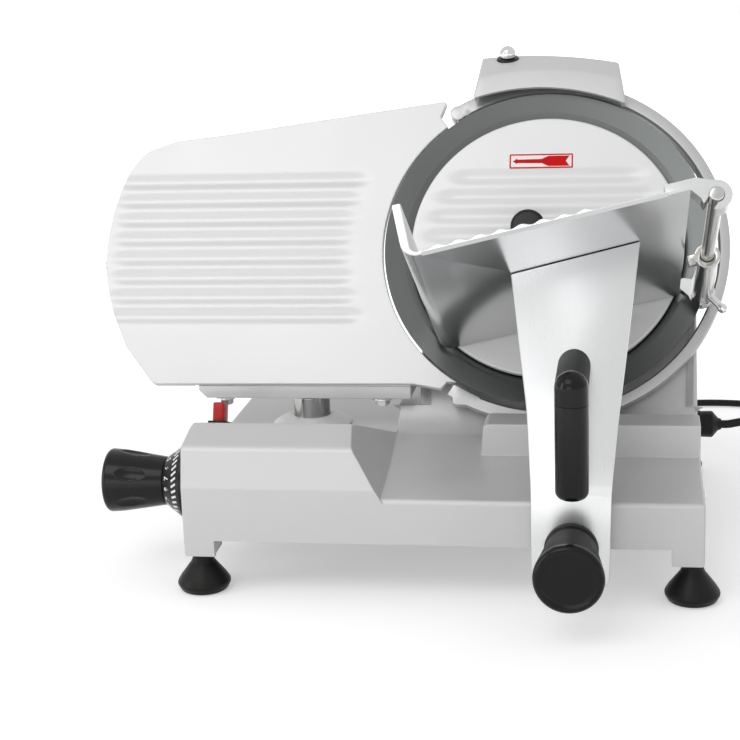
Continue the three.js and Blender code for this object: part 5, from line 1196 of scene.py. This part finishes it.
def thickness_knob():
    """The long knob, with oval finger hollows round it."""
    h = HOLLOWS
    corners = outline([(0, KNOB_FRONT + 0.8), (15, KNOB_FRONT + 0.8, 3), (18.5, KNOB_FRONT, 1),
                       (23.5, KNOB_FRONT, 3.4), (22.6, KNOB_FRONT + 12, 30),
                       (17.6, CONE_START - SEAT_GAP, 0.6), (5.3, CONE_START - SEAT_GAP)], 6)
    points = []
    for here, after in zip(corners, corners[1:]):
        parts = max(1, int((after - here).length / 0.9))
        points += [here.lerp(after, k / parts) for k in range(parts)]
    points += [corners[-1], Vector((5.3, -302.3)), Vector((0, -302.3))]
    steps = 180
    rings = []
    for point in points:
        along = (point.y - h["middle"]) / h["half_length"]
        ring = []
        for k in range(steps):
            degrees = 360 * k / steps
            pitch = 360 / h["count"]
            off = (degrees - h["first"] + pitch / 2) % pitch - pitch / 2
            across = math.radians(off) * point.x / h["half_width"]
            share = max(0, 1 - along * along - across * across)
            dip = h["depth"] * share ** 0.8 if point.x > 17 else 0
            angle = math.radians(degrees)
            ring.append(((point.x - dip) * math.cos(angle), (point.x - dip) * math.sin(angle), point.y))
        rings.append(ring)
    knob = shape(loft(rings, ring_of_rings=True))
    finished(knob, "dial_knob", MACHINE @ DIAL_TURN, "dial", FINISH["plastic"],
             ["thickness_knob"], 30)


def dial_ring():
    """The scale behind the knob: a cone with white lines and numbers, and a black band."""
    ring = turned([(5.3, CONE_START), (17.6, CONE_START, 0.5), (28, CONE_END, 0.5), (28, DIAL_BACK, 1),
                   (5.3, DIAL_BACK)], 128)
    finished(ring, "dial_scale", MACHINE @ DIAL_TURN, "dial", FINISH["plastic"], ["dial_ring"], 30)
    tilt = math.atan2(28 - 17.6, CONE_END - CONE_START)
    dial = SCENE.slicer_dial
    share = 0.7
    values = {"Count": dial.marks, "Radius": 17.6 + (28 - 17.6) * share,
              "Height": CONE_START + (CONE_END - CONE_START) * share, "Tilt": tilt, "Slant": 0.5,
              "Width": dial.mark_width / MM, "Length": 5.4, "Thickness": 0.24,
              "Finish": FINISH["white_print"]}
    marks = grown(ring_of_marks_tree(), values)
    finished(marks, "dial_lines", MACHINE @ DIAL_TURN, "dial", FINISH["white_print"])
    digits(dial.digit_height / MM, tilt)


def digits(height, tilt):
    """Plain bold numbers round the narrow end of the dial's cone."""
    bm = bmesh.new()
    count, share = 16, 0.26
    place = Vector((17.6 + (28 - 17.6) * share + 0.02, 0, CONE_START + (CONE_END - CONE_START) * share))
    upright = Matrix(((0, 0, 1, 0), (-1, 0, 0, 0), (0, -1, 0, 0), (0, 0, 0, 1)))
    for number in range(count):
        curve = bpy.data.curves.new("digit", "FONT")
        curve.body = str(number)
        curve.size = height
        curve.align_x, curve.align_y = "CENTER", "CENTER"
        curve.extrude = 0.06
        curve.offset = 0.16
        text = bpy.data.objects.new("digit", curve)
        SCENE.collection.objects.link(text)
        bpy.context.view_layer.update()
        mesh = bpy.data.meshes.new_from_object(text.evaluated_get(bpy.context.evaluated_depsgraph_get()))
        angle = 2 * math.pi * number / count
        mesh.transform(Matrix.Rotation(angle, 4, "Z") @ Matrix.Translation(place)
                       @ Matrix.Rotation(tilt, 4, "Y") @ upright)
        bm.from_mesh(mesh)
        bpy.data.objects.remove(text)
        bpy.data.meshes.remove(mesh)
    finished(shape(bm), "dial_numbers", MACHINE @ DIAL_TURN, "dial", FINISH["white_print"])


# Carriage

TRAY_SIZE = {"near": 224.5, "far": 3, "length": 183, "floor": 2.6, "wall": 6, "height": 37}
HOOK = {"w": 197.5, "h": -6.9, "radius": 9.7, "bore": 5.05}
WAVES = {"count": 8, "height": 1.8, "start": 16, "end": 124}


def tray_outline():
    pitch = (WAVES["end"] - WAVES["start"]) / WAVES["count"]
    steps = 14
    waves = []
    for k in range(WAVES["count"] * steps + 1):
        share = k / steps
        rise = WAVES["height"] * (1 - math.cos(share * 2 * math.pi)) / 2
        waves.append((WAVES["end"] - share * pitch, TRAY_SIZE["floor"] + rise))
    t = TRAY_SIZE
    return [(0, 0, 10), (t["length"], 0), (t["length"], t["floor"]), *waves, (t["wall"], t["floor"], 4),
            (t["wall"], t["height"], 1.5), (0, t["height"], 1.5)]


def hook(back, front):
    """An eye that holds the rod, open on one side, with the web that joins it to the tray."""
    w, h, radius = HOOK["w"], HOOK["h"], HOOK["radius"]
    web = prism([(168, 0), (168, 7), (w - radius, 7, 4), (w, h + radius), (w - radius, h),
                 (TRAY_SIZE["length"], 0)],
                back, front)
    eye = cut(joined(web, rod(radius, back, front, 64, (w, h, 0))),
              rod(HOOK["bore"], back - 3, front + 3, 48, (w, h, 0)))
    mouth = block((-2 * radius, 0), (-3.5, 3.5), (back - 3, front + 3))
    return cut(eye, placed(mouth, Matrix.Translation((w, h, 0)) @ Matrix.Rotation(math.pi / 4, 4, "Z")))


def tray():
    """The tray: a waved floor, a low wall on its left and a hook at each end of its right edge."""
    t = TRAY_SIZE
    screw_holes = [rod(4.7, t["floor"], 8, 32, (w, 0, 128), ABOUT_Y_UP) for w in (80, 136)]
    screw_holes += [rod(2.7, -3, 8, 32, (w, 0, 128), ABOUT_Y_UP) for w in (80, 136)]
    whole = joined(prism(tray_outline(), t["far"], t["near"], 0.7), hook(t["near"] - 13, t["near"]),
                   hook(10, 20))
    under_edge = along_x([(-2.6, t["near"] + 1), (-2.6, t["near"] - 3), (0, t["near"] - 3),
                          (1.9, t["near"] + 0.2), (1.9, t["near"] + 1)], 12, t["length"] - 14)
    whole = cut(whole, *screw_holes, under_edge)
    finished(whole, "carriage_tray", TRAY, "carriage", FINISH["shaded_tray_metal"], ["tray"], 25)
    screw = joined(turned([(0, 2.9), (4.4, 2.9), (4.4, 4.7, 0.6), (0, 5.3)], 40, turn=ABOUT_Y_UP),
                   rod(2.4, -3.7, 3, 24, turn=ABOUT_Y_UP))
    pair = copies_in_row(screw, 2, (80, 0, 128), (136, 0, 128), "steel")
    finished(pair, "tray_screws", TRAY, "carriage", FINISH["steel"],
             ["tray_screw_left", "tray_screw_right"])


def pusher():
    """The rod in the hooks, the sleeve on it, and the sleeve's lever pin."""
    place = (HOOK["w"], HOOK["h"], 0)
    bar = turned([(0, 4), (4.75, 4, 1.2), (4.75, 227, 1.2), (0, 227)], 64, place)
    finished(bar, "pusher_bar", TRAY, "carriage", FINISH["rod_metal"], ["pusher_rod"], 40)
    barrel = turned([(5.05, 20.6), (8, 20.6, 0.8), (8, 101, 0.5), (8.8, 101, 0.5),
                     (8.8, 106, 0.6), (5.05, 106)], 64, place)
    lug = cut(block((184, HOOK["w"]), (-9.9, -3.9), (97, 106)), rod(5.5, 20, 109, 48, place))
    sleeve = joined(barrel, lug)
    soften(sleeve, 0.4)
    finished(sleeve, "pusher_sleeve", TRAY, "sleeve", FINISH["rod_metal"], ["rod_sleeve"], 35)
    pin = turned([(0, 5.9), (2.6, 5.9), (2.6, 17.6, 1), (3.6, 20.2, 1.8), (3.2, 23.6, 1.6), (0, 24.6)], 40,
                 turn=ABOUT_X)
    spin = (Matrix.Translation((HOOK["w"], HOOK["h"], 30))
            @ Matrix.Rotation(math.radians(-47) - TRAY_TILT, 4, "Z"))
    finished(placed(pin, spin), "sleeve_lever", TRAY, "lever", FINISH["steel"], ["lever_pin"], 40)


ARM = {"front": -208, "thickness": 12, "knee": 84, "knee_round": 190, "top_y": -157, "top": 240,
       "bottom": 17, "reach": 289}


def arm_side(ahead, behind):
    """The arm seen from the side: upright at its foot, then leaning back."""
    slope = (ARM["top_y"] - ARM["front"]) / (ARM["top"] - ARM["knee"])
    top_y = ARM["front"] + slope * (ARM["reach"] - ARM["knee"])
    return [(ARM["front"] - ahead, ARM["bottom"]), (ARM["front"] - ahead, ARM["knee"], ARM["knee_round"]),
            (top_y - ahead, ARM["reach"]), (top_y + behind, ARM["reach"]),
            (ARM["front"] + behind, ARM["knee"], ARM["knee_round"]), (ARM["front"] + behind, ARM["bottom"])]


def support_arm():
    """The arm that carries the tray, limited to its front outline and cut to the tray's floor."""
    reach = ARM["reach"]
    front = along_y([(-2, 17, 12), (-2, 87, 200), (-5, 139, 200), (-16, 224), (-16, reach), (70.5, reach),
                     (70.5, 252), (55.3, 126, 200), (51.7, 87, 200), (50, 17, 12)], ARM["front"] - OVERRUN, 0)
    upright = common(along_x(arm_side(0, ARM["thickness"]), -19, 73.5), front)
    in_machine = MACHINE.inverted() @ TRAY
    above = placed(block((-183, 366), (-SEAT_GAP, 183), (0, 449)), in_machine)
    pad = placed(block((68, 148), (-6.3, -SEAT_GAP), (118, 145)), in_machine)
    bore = rod(4.3, -211, -193, 32, turn=Matrix.Translation((25, 0, 48.2)) @ ABOUT_Y_UP)
    arm = cut(joined(cut(upright, above), pad), bore)
    soften(arm, 1.1)
    finished(arm, "tray_arm", MACHINE, "carriage", FINISH["arm_metal"], ["support_arm"], 30)


def handle():
    """The upright black grip: a tube that turns back into the arm at an elbow, on two posts."""
    x, y, radius, top, bottom, seam = 26.5, -235.5, 10.9, 178, 93, 157
    elbow = top - radius
    ball = turned([(radius * math.cos(a), radius * math.sin(a)) for a in
                   (math.radians(-90 + 6 * k) for k in range(31))], 96, (x, y, elbow))
    neck = rod(radius, seam - 0.6, elbow, 96, (x, y, 0))
    grip = turned([(0, bottom), (radius, bottom, 5.4), (radius, seam - 0.8, 0.3), (radius - 0.7, seam - 0.8),
                   (radius - 0.7, seam + 0.2), (0, seam + 0.2)], 96, (x, y, 0))
    posts = [rod(r, y, -172, 96, turn=Matrix.Translation((x, 0, z)) @ ABOUT_Y_UP)
             for r, z in ((radius - 0.04, elbow), (8, 104))]
    behind = along_x([*arm_side(SEAT_GAP, 0)[:3], (0, ARM["reach"]), (0, ARM["bottom"])], -16, 70.5)
    stems = cut(joined(*posts), behind, rod(radius + 0.05, bottom - OVERRUN, elbow, 96, (x, y, 0)))
    finished(stems, "grip_stems", MACHINE, "carriage", FINISH["satin_plastic"], smooth=40)
    finished(joined(ball, neck, grip), "arm_grip", MACHINE, "carriage", FINISH["gloss_plastic"],
             ["arm_handle"], 40)


def clamp_knob():
    turn = Matrix.Translation((25, 0, 48.2)) @ ABOUT_Y_UP
    knob = turned([(0, -264.6), (17, -264.6, 8), (20.3, -266, 2), (23.5, -266, 4), (22.9, -259), (0, -259)],
                  128, turn=turn)
    neck = turned([(0, -259.3), (22.9, -259.3), (17.4, -216, 3), (18.2, -213, 1), (18.2, -208.3, 0.8),
                   (4, -208.3), (4, -191.5), (0, -191.5)], 128, turn=turn)
    finished(neck, "clamp_neck", MACHINE, "clamp", FINISH["satin_plastic"], smooth=40)
    finished(knob, "foot_clamp_knob", MACHINE, "clamp", FINISH["gloss_plastic"], ["clamp_knob"], 40)


def runners():
    """The bars under the table and the trolley that runs on them."""
    ends = (TABLE["left"] + 2.3, TABLE["right"] - 2.3)
    for name, node, radius, y, z in (("slide_bar", "slide_rod", 7, -102, 49),
                                     ("steady_bar", "guide_bar", 4, -155, 47)):
        bar = rod(radius, *ends, 48, turn=Matrix.Translation((0, y, z)) @ ABOUT_X, edge=1)
        finished(bar, name, MACHINE, "machine", FINISH["steel"], [node], 40)
    trolley = node_copy("carriage_trolley")
    finished(trolley, "bar_trolley", Matrix.Identity(4), "carriage", FINISH["casting"],
             ["carriage_trolley"])


# Switch

def switch():
    """Rocker of the power switch and its bezel, on the slope of the nose."""
    bezel = node_copy("switch_bezel")
    soften(bezel, 0.0006)
    finished(bezel, "switch_frame", Matrix.Identity(4), "machine", FINISH["plastic"],
             ["switch_bezel"])
    button = node_copy("switch_button")
    soften(button, 0.0012)
    finished(button, "switch_cap", Matrix.Identity(4), "switch", FINISH["red"], ["switch_button"])


# Cord, strain relief and plug

CORD_ROUTE = [(131.9, 0, 74.7), (138.1, 0, 74.7), (155, 1, 77), (190, 10, 70), (228, 36, 42), (258, 82, 13),
              (270, 128, 4.55), (273, 175, 3.55), (262, 230, 3.55), (236, 274, 3.55), (196, 304, 3.55),
              (150, 315, 3.55), (100, 308, 3.55), (52, 284, 3.55), (-4.2, 265.9875, 3.55),
              (-10.7, 265.9875, 3.55)]
COIL = {"x": -18, "y": 222, "outer": 43.9875, "pitch": 7.1, "turns": 4.5, "layer_turns": 2, "floor": 3.55,
        "lead": 7, "tail": 28, "steps": 24}


def smooth_route(points, parts):
    """Centripetal Catmull-Rom points through a route, as the solid of the cord follows."""
    points = [Vector(p) for p in points]
    ends = [points[0] * 2 - points[1], *points, points[-1] * 2 - points[-2]]
    route = []
    for p0, p1, p2, p3 in zip(ends, ends[1:], ends[2:], ends[3:]):
        t1, t2, t3 = (math.sqrt((b - a).length) for a, b in ((p0, p1), (p1, p2), (p2, p3)))
        m1 = (p1 - p0) / t1 - (p2 - p0) / (t1 + t2) + (p2 - p1) / t2
        m2 = (p2 - p1) / t2 - (p3 - p1) / (t2 + t3) + (p3 - p2) / t3
        m1, m2 = m1 * t2, m2 * t2
        for k in range(parts):
            s = k / parts
            route.append(p1 * (2 * s ** 3 - 3 * s ** 2 + 1) + m1 * (s ** 3 - 2 * s ** 2 + s)
                         + p2 * (3 * s ** 2 - 2 * s ** 3) + m2 * (s ** 3 - s ** 2))
    return [*route, points[-1]]


def coil_route():
    """Two piled layers that spiral in and out again."""
    c = COIL
    route = []
    for k in range(int(c["turns"] * c["steps"]) + 1):
        turn = k / c["steps"]
        angle = math.pi / 2 + turn * 2 * math.pi
        radius = c["outer"] - c["pitch"] * min(turn, c["turns"] - turn)
        climb = max(0, min(1, (turn - c["layer_turns"]) * 2))
        route.append(Vector((c["x"] + radius * math.cos(angle), c["y"] + radius * math.sin(angle),
                             c["floor"] + c["pitch"] * climb)))
    return [*route, route[-1] + Vector((c["tail"], 0, 0))]


def cord():
    """The mains cord from its strain relief to the coil behind the machine, its plug on the end."""
    route = [MACHINE @ point for point in smooth_route(CORD_ROUTE, 6) + coil_route()]
    curve = bpy.data.curves.new("mains_cord", "CURVE")
    curve.dimensions = "3D"
    spline = curve.splines.new("POLY")
    spline.points.add(len(route) - 1)
    for point, place in zip(spline.points, route):
        point.co = (*place, 1)
    curve.bevel_depth = SCENE.slicer_cord.diameter / 2
    curve.bevel_resolution = 4
    curve.use_fill_caps = True
    curve.materials.append(FINISH["cord_rubber"])
    obj = bpy.data.objects.new("mains_cord", curve)
    SCENE.collection.objects.link(obj)
    carried(obj, "machine", ["power_cord", "cord_coil"])
    relief = strain_relief()
    body, pins = plug()


def strain_relief():
    """The gland with its nut, and a boot that tapers down to the cord."""
    start, nut_end, taper, end = 113.8, 117.6, 126.5, 133.5
    corners = [(0, 105.5), (6.6, 105.5), (6.6, start), (10.4, start, 0.8), (10.4, nut_end, 0.5),
               (10, nut_end + 0.4, 0.3), (10.3, taper, 2.4), (5, taper + 4.4, 1.5), (4, end, 0.5), (0, end)]
    boot = turned(corners, 64, turn=Matrix.Translation((0, 0, 74.7)) @ ABOUT_X)
    return finished(boot, "strain_relief_boot", MACHINE, "machine", FINISH["rubber"],
                    ["cord_gland"], 40)


def plug():
    """A moulded two-pin plug with grip ridges, and its bright pins."""
    end = coil_route()[-1]
    neck, length, half_width, half_height = 12, 38, 12, end.z
    place = Matrix.Translation((end.x + SEAT_GAP, end.y, end.z)) @ ABOUT_X
    body = prism([(-half_width, -half_height, 4), (half_width, -half_height, 4), (half_width, half_height, 4),
                  (-half_width, half_height, 4)], neck, neck + length, 2.5, 5)
    collar = turned([(0, 0), (4.2, 0, 0.6), (5.4, 5, 1), (4.6, 6.2, 0.6), (5.4, 7.4, 0.6),
                     (5.4, neck + 1), (0, neck + 1)], 48)
    wide, high = half_width - 0.8, half_height - 0.8
    core = [(-wide, -high, 3), (wide, -high, 3), (wide, high, 3), (-wide, high, 3)]
    grooves = [cut(prism([(-30, -30), (30, -30), (30, 30), (-30, 30)], z, z + 1.6), prism(core, z - 1, z + 3))
               for z in (18, 22, 26)]
    whole = cut(joined(body, collar), *grooves)
    finished(whole, "plug_body", MACHINE @ place, "machine", FINISH["rubber"], ["power_plug"], 40)
    pins = [rod(2.2, neck + length - 2, neck + length + 19, 32, (y, 0, 0), edge=1) for y in (-4.75, 4.75)]
    pair = joined(*pins)
    finished(pair, "plug_pins", MACHINE @ place, "machine", FINISH["steel"])
    return whole, pair


PLAIN_NODES = {
    "base_cover": "sheet", "blade_shaft": "dark_steel", "bearing_housing": "casting",
    "front_bearing": "dark_steel", "rear_bearing": "dark_steel", "blade_pulley": "casting",
    "motor_pulley": "dark_steel", "motor_body": "dark_steel", "drive_belt": "rubber",
    "cover_tie_rod": "dark_steel", "grinding_stone": "stone", "truing_stone": "stone",
    "gauge_slider": "casting", "knob_shaft": "dark_steel",
}


def plain_nodes():
    """Inner solids whose shape is right as it is: they only get their finish."""
    for name, finish in PLAIN_NODES.items():
        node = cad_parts[name]
        node.data.materials.clear()
        node.data.materials.append(FINISH[finish])


# Operators

class SLICER_OT_stage(bpy.types.Operator):
    """Camera, lamps, background, floor and the shared finishes"""
    bl_idname = "slicer.stage"
    bl_label = "Stage"

    def execute(self, context):
        chosen = context.scene.slicer_stage
        context.scene.view_settings.view_transform = "Standard"
        make_finishes()
        add_camera()
        add_world(chosen.sky_strength)
        middle = tuple((CAD_BOX[0] + CAD_BOX[1]) / 2)
        add_lamp("overhead", (-0.6, -1.3, 1.8), middle, (1.4, 1.1), chosen.key_power)
        add_lamp("left_window", (-2.0, -1.0, 0.7), middle, (0.6, 1.4), chosen.fill_power)
        add_lamp("front_strip", (-0.5, -2.4, 0.5), middle, (1.4, 0.7), chosen.fill_power * 0.5)
        reach = chosen.floor_reach
        bm = bmesh.new()
        corners = ((-reach, -reach), (reach, -reach), (reach, reach), (-reach, reach))
        bm.faces.new([bm.verts.new((x, y, -0.0002)) for x, y in corners])
        floor = shape(bm)
        floor.name = "studio_floor"
        floor.data.materials.append(floor_material(chosen.floor_color))
        return {"FINISHED"}


def piece_operator(name, label, about, *makers):
    """An operator that makes pieces by calling their functions in turn."""
    def execute(self, context):
        for maker in makers:
            maker()
        return {"FINISHED"}

    return type(f"SLICER_OT_{name}", (bpy.types.Operator,), {
        "__doc__": about, "bl_idname": f"slicer.{name}", "bl_label": label, "execute": execute})


OPERATORS = [
    SLICER_OT_stage,
    piece_operator("cord", "Cord", "Mains cord, strain relief, coil and plug", cord),
    piece_operator("body", "Body", "Body casting, covers, screws and feet",
                   body_casting, feet, body_screws, covers, plain_nodes),
    piece_operator("blade", "Blade", "Blade, guard ring, cover, knob and arrow",
                   blade_disc, guard_ring, blade_cover, cover_knob, turning_arrow),
    piece_operator("sharpener", "Sharpener", "Sharpener housing, dome knob and buttons", sharpener),
    piece_operator("gauge", "Gauge plate", "Gauge plate and its mount", gauge_plate, gauge_mount),
    piece_operator("dial", "Dial", "Thickness knob and its scale", thickness_knob, dial_ring),
    piece_operator("carriage", "Carriage", "Tray, pusher rod, arm, handle, clamp knob and runners",
                   tray, pusher, support_arm, handle, clamp_knob, runners),
    piece_operator("switch", "Switch", "Power switch", switch),
]


class SLICER_PT_panel(bpy.types.Panel):
    """Settings and steps of the slicer"""
    bl_idname = "SLICER_PT_panel"
    bl_label = "Slicer"
    bl_space_type = "VIEW_3D"
    bl_region_type = "UI"
    bl_category = "Slicer"

    def draw(self, context):
        for name in SETTINGS:
            box = self.layout.box()
            settings = getattr(context.scene, name)
            for prop in type(settings).__annotations__:
                box.prop(settings, prop)
        for operator in OPERATORS:
            self.layout.operator(operator.bl_idname)


SETTINGS = {"slicer_stage": SLICER_PG_stage, "slicer_finishes": SLICER_PG_finishes,
            "slicer_grooves": SLICER_PG_grooves, "slicer_dial": SLICER_PG_dial, "slicer_cord": SLICER_PG_cord}


def register():
    for cls in [*SETTINGS.values(), *OPERATORS, SLICER_PT_panel]:
        bpy.utils.register_class(cls)
    for name, cls in SETTINGS.items():
        setattr(bpy.types.Scene, name, PointerProperty(type=cls))


def unregister():
    for name in SETTINGS:
        delattr(bpy.types.Scene, name)
    for cls in reversed([*SETTINGS.values(), *OPERATORS, SLICER_PT_panel]):
        bpy.utils.unregister_class(cls)


def main():
    """Runs every step in order and writes the two boxes."""
    register()
    for operator in OPERATORS:
        getattr(bpy.ops.slicer, operator.bl_idname.split(".")[1])()


if __name__ == "__main__":
    main()
